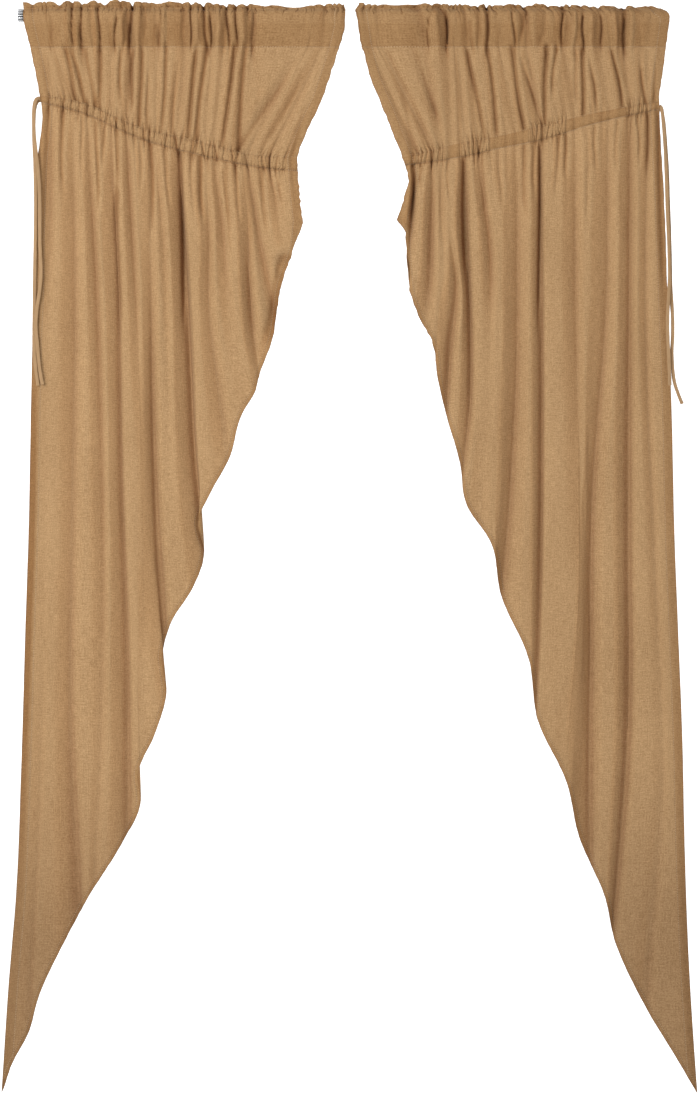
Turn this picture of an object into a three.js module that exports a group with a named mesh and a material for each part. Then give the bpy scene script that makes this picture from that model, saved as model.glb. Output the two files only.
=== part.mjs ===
import * as THREE from 'three';

// A pair of burlap prairie curtains, hanging side by side on plain rods.
// Each panel is one piece of cloth: long outer edge, short inner edge and a slanted hem.
// A rod pocket with a small ruffle heads it, a casing strip is sewn on its back,
// and two flat ties come out of the casing's outer end.
//
// Millimetres, +Z up. X runs across to the right and the room is on the -Y side.
// The origin is on the axis of the rods, midway between the two panels.
// "drop" is the distance below that axis, "forward" the distance from it towards the room.

// Cloth and rod sizes
const CLOTH_THICKNESS = 2.8; // along Y, so a folded stretch is 1.1 to 2.8 thick
const LAYER_GAP = 0.4;
const ROD_RADIUS = 9.5;
const ROD_SIDES = 24;
const CAP_RADIUS = 12.5;
const CAP_LENGTH = 7;
const CAP_RIBS = 3;
const SEAT_GAP = 0.35;
const CASING_THICKNESS = 1.4;
const CASING_GAP = 0.5;
const TIE_WIDTH = 7;
const TIE_THICKNESS = 2;
const TIE_STEPS = 26;
const TIE_SIDES = 8;

// Heights of the heading, as drops
const RUFFLE_STITCH = -11.4;
const POCKET_STITCH = 62;

// Fold shape
const FOLD_ROUNDNESS = 1.7; // how quickly a fold's side flattens towards its crest
const SEAM_DEPTH = 5; // depth of every fold where the casing gathers it
const SEAM_CREST = 5;
const SKIRT_CREST = 14; // how far the crests of the skirt stand forward
const OPENING_LENGTH = 55; // below the casing, over which a fold opens to its full depth
const GATHER_DEPTH = 3.2; // small pinches between the casing's stitches
const GATHER_LENGTH = 45;
const COLUMN_SPACING = 9.4;
const PLEAT_LIFT = 0.32; // crests of the pocket's pleats, as a share of the depths around them
const BACK_PLEAT = 0.6; // depth of the pocket's back layer beside that of its front
const STITCHED_PLEAT = 0.75; // depth of the pleats at the pocket's lower stitches
const BODICE_BULGE = 3;
const RUFFLE_SCALLOP = 1.5; // every other column of the ruffle's edge is this much lower

const JOINED_FORWARD = (CLOTH_THICKNESS + LAYER_GAP) / 2; // where the two layers are sewn together

// Rows of the pocket, from the ruffle down.
// forward: of the cloth's middle where it lies on the rod, pleat: share of the pleats' depth
const POCKET_ROWS = [
  { drop: RUFFLE_STITCH, forward: JOINED_FORWARD, pleat: 0.15 },
  { drop: -6, forward: 12.7, pleat: 0.6 },
  { drop: 4, forward: 13.2, pleat: 0.9 },
  { drop: 16, forward: 11, pleat: 1 },
  { drop: 36, forward: 6, pleat: 1 },
  { drop: POCKET_STITCH, forward: JOINED_FORWARD, pleat: STITCHED_PLEAT },
];
const BODICE_ROWS = [0.28, 0.58, 0.84];
const SKIRT_ROWS = [0.05, 0.13, 0.23, 0.34, 0.46, 0.58, 0.7, 0.81, 0.91, 1];

// Each panel has:
// outer, inner: the outline from the ruffle down, in rows of [drop, x]; inner goes on as the hem
// casing: rows of [x, upper drop, lower drop]
// folds: one row for each valley that a fold makes, in the order in which they lie across.
//   top: drop of the ruffle's edge, pocket: x at the pocket's lower stitches,
//   skirt: x at equal steps from the casing to the hem, hem: drop where it meets the hem,
//   pleat: depth in the pocket and above the casing, deep: depth at the same steps as skirt,
//   reach: how far its sides reach to the left and right, where less than to the next fold.
//   A row with an edge follows that side of the outline.
const LEFT = {
  name: 'left',
  outer: [
    [-26, -641], [-1, -639], [13, -638], [62, -627], [117, -615], [156, -608], [205, -602],
    [264, -608], [362, -613], [558, -615], [754, -621], [1008, -627], [1224, -635], [1459, -641],
    [1730, -653], [1898, -668], [2110, -682],
  ],
  inner: [
    [-22, -14], [-11, -9], [1, -12], [23, -12], [58, -20], [107, -35], [166, -55], [234, -88],
    [279, -104], [342, -100], [407, -92], [446, -107], [475, -116], [526, -135], [591, -145],
    [632, -151], [703, -177], [738, -186], [779, -210], [867, -236], [938, -274], [991, -297],
    [1052, -286], [1120, -307], [1191, -351], [1244, -367], [1334, -360], [1408, -382],
    [1487, -415], [1538, -409], [1624, -448], [1730, -514], [1814, -559], [1922, -609],
    [1994, -630], [2055, -662], [2110, -680],
  ],
  casing: [
    [-604, 157, 170], [-529, 170, 189], [-412, 219, 240], [-294, 248, 273], [-176, 275, 297],
    [-102, 277, 305],
  ],
  folds: [
    { edge: 'outer', top: -21, pocket: -627, hem: 2110, pleat: [1, 3], deep: [6, 12, 12, 9, 5], reach: [0, 18] },
    { top: -23, pocket: -594, skirt: [-583, -590, -597, -607, -629], hem: 1983, pleat: [3, 6], deep: [14, 2, 1, 4, 6] },
    { top: -24, pocket: -578, skirt: [-545, -544, -548, -559, -529], hem: 1757, pleat: [5, 7], deep: [16, 19, 17, 18, 14] },
    { top: -25, pocket: -527, skirt: [-514, -499, -487, -490, -496], hem: 1706, pleat: [8, 9], deep: [18, 20, 14, 7, 6] },
    { top: -20, pocket: -466, skirt: [-470, -453, -449, -440, -412], hem: 1528, pleat: [8, 7], deep: [20, 16, 22, 28, 24], reach: [60, 20] },
    { top: -26, pocket: -429, skirt: [-437, -424, -409, -405, -400], hem: 1444, pleat: [12, 10], deep: [16, 8, 2, 3, 3] },
    { top: -24, pocket: -396, skirt: [-396, -393, -397, -386, -363], hem: 1224, pleat: [4, 5], deep: [3, 14, 25, 25, 16] },
    { top: -22, pocket: -376, skirt: [-384, -371, -360, -350, -327], hem: 1155, pleat: [8, 8], deep: [20, 18, 7, 2, 2] },
    { top: -25, pocket: -318, skirt: [-340, -332, -326, -315, -290], hem: 1055, pleat: [9, 11], deep: [22, 32, 28, 25, 18], reach: [60, 34] },
    { top: -21, pocket: -268, skirt: [-288, -281, -281, -260, -236], hem: 867, pleat: [7, 8], deep: [12, 17, 17, 14, 8] },
    { top: -23, pocket: -247, skirt: [-268, -256, -245, -232, -194], hem: 744, pleat: [5, 7], deep: [16, 15, 8, 3, 2] },
    { top: -22, pocket: -190, skirt: [-213, -207, -204, -199, -177], hem: 703, pleat: [8, 7], deep: [5, 12, 20, 19, 10] },
    { top: -18, pocket: -96, skirt: [-202, -193, -183, -168, -147], hem: 597, pleat: [2, 8], deep: [16, 25, 26, 20, 10] },
    { top: -20, pocket: -51, skirt: [-155, -146, -139, -131, -122], hem: 489, pleat: [2, 9], deep: [14, 11, 6, 3, 3] },
    { edge: 'inner', top: -22, pocket: -20, hem: 432, pleat: [0, 3], deep: [4, 4, 3, 2, 2], reach: [16, 0] },
  ],
};

const RIGHT = {
  name: 'right',
  outer: [
    [-22, 602], [-14, 608], [-5, 621], [3, 626], [28, 623], [87, 616], [156, 606], [224, 608],
    [362, 615], [538, 621], [754, 629], [1008, 635], [1224, 643], [1426, 651], [1642, 656],
    [1849, 664], [1992, 673], [2112, 682],
  ],
  inner: [
    [-23, 19], [-9, 12], [-3, 14], [13, 17], [56, 23], [126, 41], [205, 74], [293, 108],
    [326, 116], [401, 92], [424, 109], [497, 113], [544, 118], [591, 135], [638, 160],
    [714, 172], [791, 191], [881, 216], [961, 229], [1028, 273], [1138, 297], [1259, 349],
    [1385, 369], [1500, 423], [1608, 449], [1724, 498], [1820, 521], [1941, 578], [2049, 643],
    [2112, 680],
  ],
  casing: [
    [108, 277, 293], [216, 250, 277], [294, 236, 260], [372, 217, 244], [490, 189, 209],
    [608, 168, 183],
  ],
  folds: [
    { edge: 'inner', top: -23, pocket: 23, hem: 401, pleat: [0, 4], deep: [4, 4, 3, 2, 2], reach: [0, 12] },
    { top: -21, pocket: 41, skirt: [131, 126, 120, 116, 111], hem: 526, pleat: [2, 5], deep: [18, 28, 24, 12, 4], reach: [30, 20] },
    { top: -20, pocket: 61, skirt: [161, 156, 153, 151, 145], hem: 609, pleat: [3, 8], deep: [12, 17, 17, 13, 5] },
    { top: -23, pocket: 147, skirt: [180, 179, 184, 178, 169], hem: 677, pleat: [9, 10], deep: [16, 12, 5, 5, 6] },
    { top: -25, pocket: 192, skirt: [200, 197, 204, 191, 188], hem: 787, pleat: [9, 8], deep: [4, 2, 10, 18, 14] },
    { top: -21, pocket: 212, skirt: [223, 221, 229, 229, 220], hem: 910, pleat: [7, 9], deep: [24, 34, 28, 22, 9] },
    { top: -24, pocket: 231, skirt: [250, 274, 274, 266, 255], hem: 1001, pleat: [7, 7], deep: [12, 14, 4, 2, 6] },
    { top: -25, pocket: 294, skirt: [327, 321, 320, 312, 298], hem: 1142, pleat: [9, 8], deep: [14, 18, 24, 22, 12] },
    { top: -22, pocket: 347, skirt: [372, 371, 374, 369, 365], hem: 1369, pleat: [8, 11], deep: [20, 20, 26, 26, 10] },
    { top: -24, pocket: 425, skirt: [439, 433, 443, 444, 421], hem: 1496, pleat: [8, 7], deep: [14, 17, 12, 2, 2] },
    { top: -21, pocket: 490, skirt: [500, 497, 475, 456, 463], hem: 1665, pleat: [7, 7], deep: [16, 20, 25, 30, 18] },
    { top: -24, pocket: 535, skirt: [549, 542, 537, 537, 520], hem: 1802, pleat: [10, 11], deep: [20, 25, 30, 26, 9] },
    { top: -21, pocket: 584, skirt: [584, 581, 598, 613, 584], hem: 1949, pleat: [3, 6], deep: [10, 15, 9, 5, 10] },
    { edge: 'outer', top: -20, pocket: 619, hem: 2112, pleat: [1, 3], deep: [5, 9, 10, 8, 5], reach: [18, 0] },
  ],
};

// Ties, as points of [x, forward, drop] from the casing's outer end down
const TIES = [
  {
    name: 'left_tie_front',
    points: [
      [-608.1, -1.2, 163], [-615, 1, 164], [-621, 8, 179], [-622, 16, 215], [-617, 21, 270], [-611, 24, 340],
      [-607, 24, 450], [-606, 24, 530], [-611, 25, 562], [-617, 25, 615], [-613, 24, 660],
      [-607, 24, 700], [-601, 24, 730],
    ],
  },
  {
    name: 'left_tie_back',
    points: [
      [-607.9, -4, 166], [-613, -4, 168], [-618, 0, 188], [-620, 6, 230], [-619, 10, 300], [-619, 12, 400],
      [-620, 14, 500], [-621, 15, 600], [-619, 16, 670], [-613, 18, 705], [-607, 19, 735],
    ],
  },
  {
    name: 'right_tie_front',
    points: [
      [607.4, -1.2, 175], [614, 1, 176], [619, 9, 192], [620, 16, 240], [623, 21, 362], [627, 24, 440],
      [628, 25, 520], [623, 25, 560], [623, 25, 616], [625, 24, 660], [627, 24, 728],
    ],
  },
  {
    name: 'right_tie_back',
    points: [
      [607.4, -4, 177], [616, -4, 181], [623, 0, 210], [627, 6, 290], [629, 10, 400], [630, 13, 500],
      [633, 15, 571], [631, 16, 615], [630, 16, 660], [635, 16, 716], [643, 16, 742], [651, 16, 762],
    ],
  },
];

// Rods, from the end nearer the left to the other
const RODS = [
  { name: 'left_rod', from: -643, to: -14 },
  { name: 'right_rod', from: 17, to: 621 },
];

const COLOURS = { cloth: 0xb8946a, casing: 0xa9855c, tie: 0xc2a077, rod: 0xb9bcc0 };

const lerp = THREE.MathUtils.lerp;

// Value at x in a table of rows that start with their own x
function fromTable(rows, x, column = 1) {
  const ordered = rows[0][0] <= rows[rows.length - 1][0] ? rows : [...rows].reverse();
  const last = ordered.length - 1;
  if (x <= ordered[0][0]) return ordered[0][column];
  if (x >= ordered[last][0]) return ordered[last][column];
  const next = ordered.findIndex((row) => row[0] > x);
  const [low, high] = [ordered[next - 1], ordered[next]];
  return lerp(low[column], high[column], (x - low[0]) / (high[0] - low[0]));
}

// Smooth value at a fraction along equally spaced values
function alongSteps(values, fraction) {
  const place = fraction * (values.length - 1);
  const step = Math.min(Math.floor(place), values.length - 2);
  const pick = (i) => values[THREE.MathUtils.clamp(i, 0, values.length - 1)];
  const t = place - step;
  const [a, b, c, d] = [pick(step - 1), pick(step), pick(step + 1), pick(step + 2)];
  const slope0 = (c - a) / 2;
  const slope1 = (d - b) / 2;
  const t2 = t * t;
  const t3 = t2 * t;
  return b * (2 * t3 - 3 * t2 + 1) + slope0 * (t3 - 2 * t2 + t) + c * (3 * t2 - 2 * t3) + slope1 * (t3 - t2);
}

// How much of a fold's depth is left at a distance from its valley
function foldShare(distance, reach) {
  return distance < reach ? (1 - distance / reach) ** FOLD_ROUNDNESS : 0;
}

// Columns across a panel: the fold to the left of each and how far it is to the next one
function panelColumns(panel) {
  const seamX = panel.folds.map((fold) => seamPlace(panel, fold));
  const columns = [];
  for (let k = 0; k < seamX.length - 1; k += 1) {
    const count = Math.max(2, Math.round((seamX[k + 1] - seamX[k]) / COLUMN_SPACING));
    for (let j = 0; j < count; j += 1) columns.push({ fold: k, part: j / count });
  }
  columns.push({ fold: seamX.length - 2, part: 1 });
  return columns;
}

function seamPlace(panel, fold) {
  if (!fold.edge) return fold.skirt[0];
  const end = fold.edge === 'outer' ? panel.casing.reduce(outerRow) : panel.casing.reduce(innerRow);
  return end[0];
}

function outerRow(a, b) {
  return Math.abs(a[0]) > Math.abs(b[0]) ? a : b;
}

function innerRow(a, b) {
  return Math.abs(a[0]) < Math.abs(b[0]) ? a : b;
}

// Blend of one value of the two folds beside a column
function between(panel, column, value) {
  const { fold, part } = column;
  return lerp(value(panel.folds[fold]), value(panel.folds[fold + 1]), part);
}

// Depth that the folds beside a column take away from the crest, given their places and depths
function foldDepth(panel, column, x, placeOf, deepOf) {
  const low = panel.folds[column.fold];
  const high = panel.folds[column.fold + 1];
  const [lowX, highX] = [placeOf(low), placeOf(high)];
  const gap = highX - lowX;
  const reachRight = Math.min(gap, low.reach ? low.reach[1] : gap);
  const reachLeft = Math.min(gap, high.reach ? high.reach[0] : gap);
  return deepOf(low) * foldShare(x - lowX, reachRight) + deepOf(high) * foldShare(highX - x, reachLeft);
}

// How far the pleats stand forward of the rod near a column
function pleatLift(panel, column) {
  const depths = panel.folds.map((fold) => fold.pleat[0]);
  const around = (k) => (depths[k - 1] ?? depths[k]) + 2 * depths[k] + (depths[k + 1] ?? depths[k]);
  return lerp(around(column.fold), around(column.fold + 1), column.part) * PLEAT_LIFT;
}

// Front layer of the pocket and, with side -1, its back layer
function pocketPoint(panel, column, row, side) {
  const pocketX = between(panel, column, (fold) => fold.pocket);
  const outer0 = fromTable(panel.outer, POCKET_STITCH);
  const inner0 = fromTable(panel.inner, POCKET_STITCH);
  const across = (pocketX - outer0) / (inner0 - outer0);
  const x = lerp(fromTable(panel.outer, row.drop), fromTable(panel.inner, row.drop), across);
  const taken = foldDepth(panel, column, pocketX, (fold) => fold.pocket, (fold) => fold.pleat[0]);
  const wave = Math.max(0, pleatLift(panel, column) - taken) * row.pleat;
  const joined = row.drop === RUFFLE_STITCH || row.drop === POCKET_STITCH;
  const forward = side > 0 || joined ? side * row.forward + wave : -row.forward - BACK_PLEAT * wave;
  return { x, forward, drop: row.drop };
}

// Point of the cloth between the pocket and the casing
function bodicePoint(panel, column, fraction, seam) {
  const drop = lerp(POCKET_STITCH, seam.upper, fraction);
  const edgeX = (fold) => fromTable(panel[fold.edge], drop);
  const foldX = (fold) => (fold.edge ? edgeX(fold) : lerp(fold.pocket, fold.skirt[0], fraction));
  const x = between(panel, column, foldX);
  const deepOf = (fold) => {
    const [pocketDepth, middleDepth] = fold.pleat;
    return alongSteps([STITCHED_PLEAT * pocketDepth, middleDepth, SEAM_DEPTH], fraction);
  };
  const lift = JOINED_FORWARD + STITCHED_PLEAT * pleatLift(panel, column);
  const crest = lerp(lift, SEAM_CREST, fraction) + BODICE_BULGE * Math.sin(Math.PI * fraction);
  const taken = foldDepth(panel, column, x, foldX, deepOf);
  return { x, forward: crest - taken - gather(column, 1 - fraction), drop };
}

// Small pinch at every other column, fading away from the casing
function gather(column, away) {
  return column.odd ? GATHER_DEPTH * Math.max(0, 1 - away) : 0;
}

// Point at one of the casing's two lines of stitches
function seamPoint(panel, column, drop) {
  const foldX = (fold) => (fold.edge ? fromTable(panel[fold.edge], drop) : fold.skirt[0]);
  const x = between(panel, column, foldX);
  const taken = foldDepth(panel, column, x, foldX, () => SEAM_DEPTH);
  return { x, forward: SEAM_CREST - taken - gather(column, 0), drop };
}

// Point of the skirt at a fraction of the way from the casing down to the hem
function skirtPoint(panel, column, fraction, seam) {
  const hemDrop = between(panel, column, (fold) => fold.hem);
  const length = hemDrop - seam.lower;
  const drop = seam.lower + fraction * length;
  const foldX = (fold) => (fold.edge ? fromTable(panel[fold.edge], drop) : alongSteps(fold.skirt, fraction));
  const atHem = (fold) => (fold.edge ? fromTable(panel[fold.edge], hemDrop) : fold.skirt[4]);
  const onHem = column.part > 0 || !panel.folds[column.fold].edge;
  const toHem = onHem ? fromTable(panel.inner, hemDrop) - between(panel, column, atHem) : 0;
  const flowX = between(panel, column, foldX);
  const opened = 1 - Math.exp((-fraction * length) / OPENING_LENGTH);
  const deepOf = (fold) => lerp(SEAM_DEPTH, Math.max(0, alongSteps(fold.deep, fraction)), opened);
  const taken = foldDepth(panel, column, flowX, foldX, deepOf);
  const crest = lerp(SEAM_CREST, SKIRT_CREST, opened);
  const pinch = gather(column, (fraction * length) / GATHER_LENGTH);
  return { x: flowX + toHem * fraction ** 5, forward: crest - taken - pinch, drop };
}

// All points of one column: the front layer from the ruffle to the hem, and the pocket's back layer
function columnPoints(panel, column, number) {
  const shaped = { ...column, odd: number % 2 === 1 };
  const seamX = between(panel, shaped, (fold) => seamPlace(panel, fold));
  const seam = { upper: fromTable(panel.casing, seamX, 1), lower: fromTable(panel.casing, seamX, 2) };
  const top = between(panel, shaped, (fold) => fold.top) + (shaped.odd ? RUFFLE_SCALLOP : 0);
  const edgeRow = { drop: top, forward: JOINED_FORWARD, pleat: 0.8 };
  const front = [
    ...POCKET_ROWS.map((row) => pocketPoint(panel, shaped, row, 1)),
    ...BODICE_ROWS.map((fraction) => bodicePoint(panel, shaped, fraction, seam)),
    seamPoint(panel, shaped, seam.upper),
    seamPoint(panel, shaped, seam.lower),
    ...SKIRT_ROWS.map((fraction) => skirtPoint(panel, shaped, fraction, seam)),
  ];
  const back = POCKET_ROWS.map((row) => pocketPoint(panel, shaped, row, -1));
  return { edge: pocketPoint(panel, shaped, edgeRow, 1), front, back };
}

function toVector(point, push) {
  return [point.x, -(point.forward + push), -point.drop];
}

// Closed loop of vertices around one column, and the pairs of it that lie on the two faces
function columnLoop({ edge, front, back }) {
  const half = CLOTH_THICKNESS / 2;
  const middle = { ...edge, forward: edge.forward - JOINED_FORWARD };
  const crotch = { ...middle, drop: edge.drop + CLOTH_THICKNESS };
  return [
    toVector(middle, CLOTH_THICKNESS + LAYER_GAP / 2),
    ...front.map((point) => toVector(point, half)),
    ...[...front].reverse().map((point) => toVector(point, -half)),
    toVector(crotch, 0),
    ...back.map((point) => toVector(point, half)),
    ...[...back].reverse().map((point) => toVector(point, -half)),
    toVector(middle, -CLOTH_THICKNESS - LAYER_GAP / 2),
  ];
}

// Triangles that close one end of the cloth, between its two faces
function loopEnd(frontRows, backRows) {
  const size = 2 * frontRows + 2 * backRows + 3;
  const crotch = 2 * frontRows + 1;
  const faces = [];
  const quad = (a, b, c, d) => faces.push([a, b, c], [a, c, d]);
  quad(0, 1, crotch - 1, crotch);
  for (let i = 1; i < frontRows; i += 1) quad(i, i + 1, crotch - i - 1, crotch - i);
  faces.push([0, crotch, size - 1]);
  quad(crotch, crotch + 1, size - 2, size - 1);
  for (let i = 1; i < backRows; i += 1) quad(crotch + i, crotch + i + 1, size - i - 2, size - i - 1);
  return faces;
}

// Closed solid through a row of loops, with the same end triangles at both ends
function loftLoops(loops, endFaces) {
  const size = loops[0].length;
  const index = [];
  for (let i = 0; i < loops.length - 1; i += 1) {
    for (let j = 0; j < size; j += 1) {
      const next = (j + 1) % size;
      const [a, b] = [i * size + j, i * size + next];
      index.push(a, b, b + size, a, b + size, a + size);
    }
  }
  const last = (loops.length - 1) * size;
  for (const [a, b, c] of endFaces) index.push(a, c, b, last + a, last + b, last + c);
  const geometry = new THREE.BufferGeometry();
  geometry.setAttribute('position', new THREE.Float32BufferAttribute(loops.flat(2), 3));
  geometry.setIndex(index);
  geometry.computeVertexNormals();
  return geometry;
}

function panelGeometry(columns) {
  const faces = loopEnd(columns[0].front.length, columns[0].back.length);
  return loftLoops(columns.map(columnLoop), faces);
}

// Strip on the back of the cloth between the casing's two lines of stitches
function casingGeometry(columns) {
  const upperRow = POCKET_ROWS.length + BODICE_ROWS.length;
  const nearFace = -CLOTH_THICKNESS / 2 - CASING_GAP;
  const loops = columns.map(({ front }) => {
    const [upper, lower] = [front[upperRow], front[upperRow + 1]];
    return [
      toVector(upper, nearFace),
      toVector(lower, nearFace),
      toVector(lower, nearFace - CASING_THICKNESS),
      toVector(upper, nearFace - CASING_THICKNESS),
    ];
  });
  return loftLoops(loops, [[0, 1, 2], [0, 2, 3]]);
}

// Flat tie with rounded edges, its width kept across the view
function tieGeometry(points) {
  const path = new THREE.CatmullRomCurve3(points.map((p) => new THREE.Vector3(p[0], -p[1], -p[2])));
  const depthAxis = new THREE.Vector3(0, 1, 0);
  const loops = [];
  for (let step = 0; step <= TIE_STEPS; step += 1) {
    const centre = path.getPointAt(step / TIE_STEPS);
    const along = path.getTangentAt(step / TIE_STEPS);
    const wide = depthAxis.clone().cross(along).normalize();
    const thick = along.clone().cross(wide);
    const loop = [];
    for (let corner = 0; corner < TIE_SIDES; corner += 1) {
      const angle = ((corner + 0.5) / TIE_SIDES) * 2 * Math.PI;
      const point = centre.clone();
      point.addScaledVector(wide, (TIE_WIDTH / 2) * Math.cos(angle));
      point.addScaledVector(thick, (TIE_THICKNESS / 2) * Math.sin(angle));
      loop.push(point.toArray());
    }
    loops.push(loop);
  }
  const endFaces = [];
  for (let corner = 2; corner < TIE_SIDES; corner += 1) endFaces.push([0, corner - 1, corner]);
  return loftLoops(loops, endFaces);
}

// Solid turned about the rod's axis, from a profile of [distance along, radius]
function turnedAlongX(profile) {
  const outline = profile.map(([along, radius]) => new THREE.Vector2(radius, along));
  const geometry = new THREE.LatheGeometry(outline, ROD_SIDES);
  geometry.rotateZ(-Math.PI / 2);
  return geometry;
}

function rodGeometry({ from, to }) {
  return turnedAlongX([[from, 0], [from, ROD_RADIUS], [to, ROD_RADIUS], [to, 0]]);
}

// Ribbed end cap of the rod's outer end, the only part of a rod that the cloth leaves bare
function capGeometry(rodEnd) {
  const start = rodEnd - SEAT_GAP - CAP_LENGTH;
  const ribLength = CAP_LENGTH / CAP_RIBS;
  const profile = [[start, 0]];
  for (let i = 0; i < CAP_RIBS; i += 1) {
    const along = start + i * ribLength;
    profile.push([along, CAP_RADIUS], [along + 0.7 * ribLength, CAP_RADIUS]);
    if (i < CAP_RIBS - 1) profile.push([along + 0.85 * ribLength, CAP_RADIUS - 1]);
  }
  profile.push([start + CAP_LENGTH, CAP_RADIUS - 1], [start + CAP_LENGTH, 0]);
  return turnedAlongX(profile);
}

function clothMaterial(color) {
  return new THREE.MeshStandardMaterial({ color, roughness: 0.95, metalness: 0, side: THREE.DoubleSide });
}

function named(name, geometry, material) {
  const mesh = new THREE.Mesh(geometry, material);
  mesh.name = name;
  return mesh;
}

function buildPanel(panel) {
  const columns = panelColumns(panel).map((column, i) => columnPoints(panel, column, i));
  const group = new THREE.Group();
  group.add(named(`${panel.name}_curtain`, panelGeometry(columns), clothMaterial(COLOURS.cloth)));
  group.add(named(`${panel.name}_casing`, casingGeometry(columns), clothMaterial(COLOURS.casing)));
  return group;
}

const curtains = new THREE.Group();
curtains.add(buildPanel(LEFT), buildPanel(RIGHT));
for (const tie of TIES) {
  curtains.add(named(tie.name, tieGeometry(tie.points), clothMaterial(COLOURS.tie)));
}
const metal = new THREE.MeshStandardMaterial({ color: COLOURS.rod, roughness: 0.35, metalness: 0.8 });
for (const rod of RODS) curtains.add(named(rod.name, rodGeometry(rod), metal));
curtains.add(named('left_rod_cap', capGeometry(RODS[0].from), metal));

export default curtains;
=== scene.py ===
from collections import namedtuple
import math

import bpy
import numpy as np
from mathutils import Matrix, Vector


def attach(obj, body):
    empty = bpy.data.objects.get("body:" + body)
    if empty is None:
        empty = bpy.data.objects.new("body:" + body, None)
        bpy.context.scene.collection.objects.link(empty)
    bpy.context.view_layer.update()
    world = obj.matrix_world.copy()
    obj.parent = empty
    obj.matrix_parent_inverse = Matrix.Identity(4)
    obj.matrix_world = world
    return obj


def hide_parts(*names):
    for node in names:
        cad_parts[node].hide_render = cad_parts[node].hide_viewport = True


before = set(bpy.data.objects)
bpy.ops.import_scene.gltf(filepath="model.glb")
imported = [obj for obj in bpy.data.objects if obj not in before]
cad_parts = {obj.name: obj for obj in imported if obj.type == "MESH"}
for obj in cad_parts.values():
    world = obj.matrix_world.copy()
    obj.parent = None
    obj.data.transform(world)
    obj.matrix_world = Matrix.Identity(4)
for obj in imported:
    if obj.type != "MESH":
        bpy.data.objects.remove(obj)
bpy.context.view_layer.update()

bl_info = {
    "name": "Burlap prairie curtains",
    "version": (1, 0, 0),
    "blender": (4, 5, 0),
    "location": "View3D > Sidebar > Curtains",
    "description": "A pair of gathered burlap curtains with their ties, casings and rods",
    "category": "Add Mesh",
}

# Metres, +Z up, X across to the right, the room on the -Y side, origin on the rods' axis.
# The tables below are in millimetres: "drop" is down from that axis, "forward" is towards the room.
MM = 0.001

# The photograph has 1096 rows of pixels, of 1.96 mm each in the plane of the cloth
PIXEL = 1.96 * MM
PHOTO_ROWS = 1096
ROD_AXIS_ROW = 15.5
VIEW_MIDDLE = -(PHOTO_ROWS / 2 - ROD_AXIS_ROW) * PIXEL
CAMERA_DISTANCE = 7.0
SENSOR_SIZE = 36

# Heights of the heading, as drops
RUFFLE_STITCH = -11.4
POCKET_STITCH = 62.0
POCKET_TURN = 67.0

ROD_RADIUS = 9.5
ROD_CLEARANCE = 1.4

# Rounding of a fold over its whole reach, and of the steeper facet beside its valley
FOLD_ROUNDNESS = 2.2
FACET_SHARE = 0.75
FACET_ROUNDNESS = 1.35
FACET_REACH = 1.35
VALLEY_ROUNDING = 3.0

# Depth and crest of the folds at the casing, how far the cloth puffs up between its stitches and
# is drawn back at the lower ones, the crest of the skirt, and how soon its folds open
SEAM_DEPTH = 5.0
SEAM_CREST = 5.0
SEAM_PUFF = 3.2
SEAM_FOOT = 1.2
SKIRT_CREST = 14.0
OPENING_LENGTH = 55.0

# Share of the pleats' depth by which they lift the pocket, how much higher the cloth between them
# stands, and what is left of them at the pocket's back and at its lower stitches
PLEAT_LIFT = 0.32
PLEAT_CREST = 1.25
BACK_PLEAT = 0.6
STITCHED_PLEAT = 0.75

# How far forward the lower stitches lie, and how far the bodice bulges between them and the casing
STITCHED_FORWARD = 0.8
BODICE_BULGE = 3.0

# Rows of the pocket's front, as (drop, forward, share of the pleats' depth)
POCKET_ROWS = (
    (-30, 1.6, 1.3), (RUFFLE_STITCH, 3, 0.55), (-6, 11.8, 0.8), (4, 13.2, 0.9), (16, 11, 1),
    (36, 6, 1), (POCKET_STITCH, STITCHED_FORWARD, STITCHED_PLEAT),
    (80, STITCHED_FORWARD, STITCHED_PLEAT),
)

# How far the cloth's edges run in and out
INNER_ROUGHNESS = 1.6
OUTER_ROUGHNESS = 0.7

# The casing's strip lies this far behind the cloth, and bulges this much more in its middle
CASING_GAP = 2.4
CASING_BULGE = 0.9

# How much deeper than in the tables the creases of each part and the skirt's folds are
CREASING = {"pocket": 1.0, "bodice": 1.3, "skirt": 1.2}
FOLDING = 1.1

# How far a crease wanders off its line, and over what lengths it fades in and out at its ends
CREASE_WANDER = 1.5
CREASE_START = (12, 8)
CREASE_END = 34

# Rows and columns of the cloth's grid, and steps up the ruffle as shares of its height
COLUMNS = 300
SKIRT_ROWS = 94
BODICE_ROWS = 24
CASING_ROWS = 7
POCKET_FRONT_ROWS = 19
POCKET_BACK_ROWS = 9
RUFFLE_STEPS = (0.4, 0.75, 0.95)

# Small pinches along the stitches, as ranges of depth, width, and reach above and below them, and
# how far at most those at the casing lean for each millimetre down
CASING_PINCHES = ((1.0, 3.2), (2.8, 5.0), (18, 60), (22, 100))
PUCKERS = ((3.2, 6.4), (1.7, 2.8), (6, 20), (7, 34))
POCKET_PINCHES = ((0.8, 2.8), (3.0, 6.0), (8, 26), (12, 55))
RUFFLE_PINCHES = ((1.2, 4.2), (2.4, 4.2), (16, 24), (6, 30))
PINCH_LEAN = 0.2

# The casing counts as gathered this near a pucker, and opens out between these distances from its
# ends
GATHER_REACH = 12
GATHER_ENDS = (8, 26)

# Height of the ripples in the bodice, and in the skirt where its folds are shut and open, and the
# lengths of the slow and the quick ones across and down the cloth
BODICE_RIPPLE = 0.5
SKIRT_RIPPLES = (0.4, 1.4)
SLOW_RIPPLE = (38, 150)
QUICK_RIPPLE = (13, 60)

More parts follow.
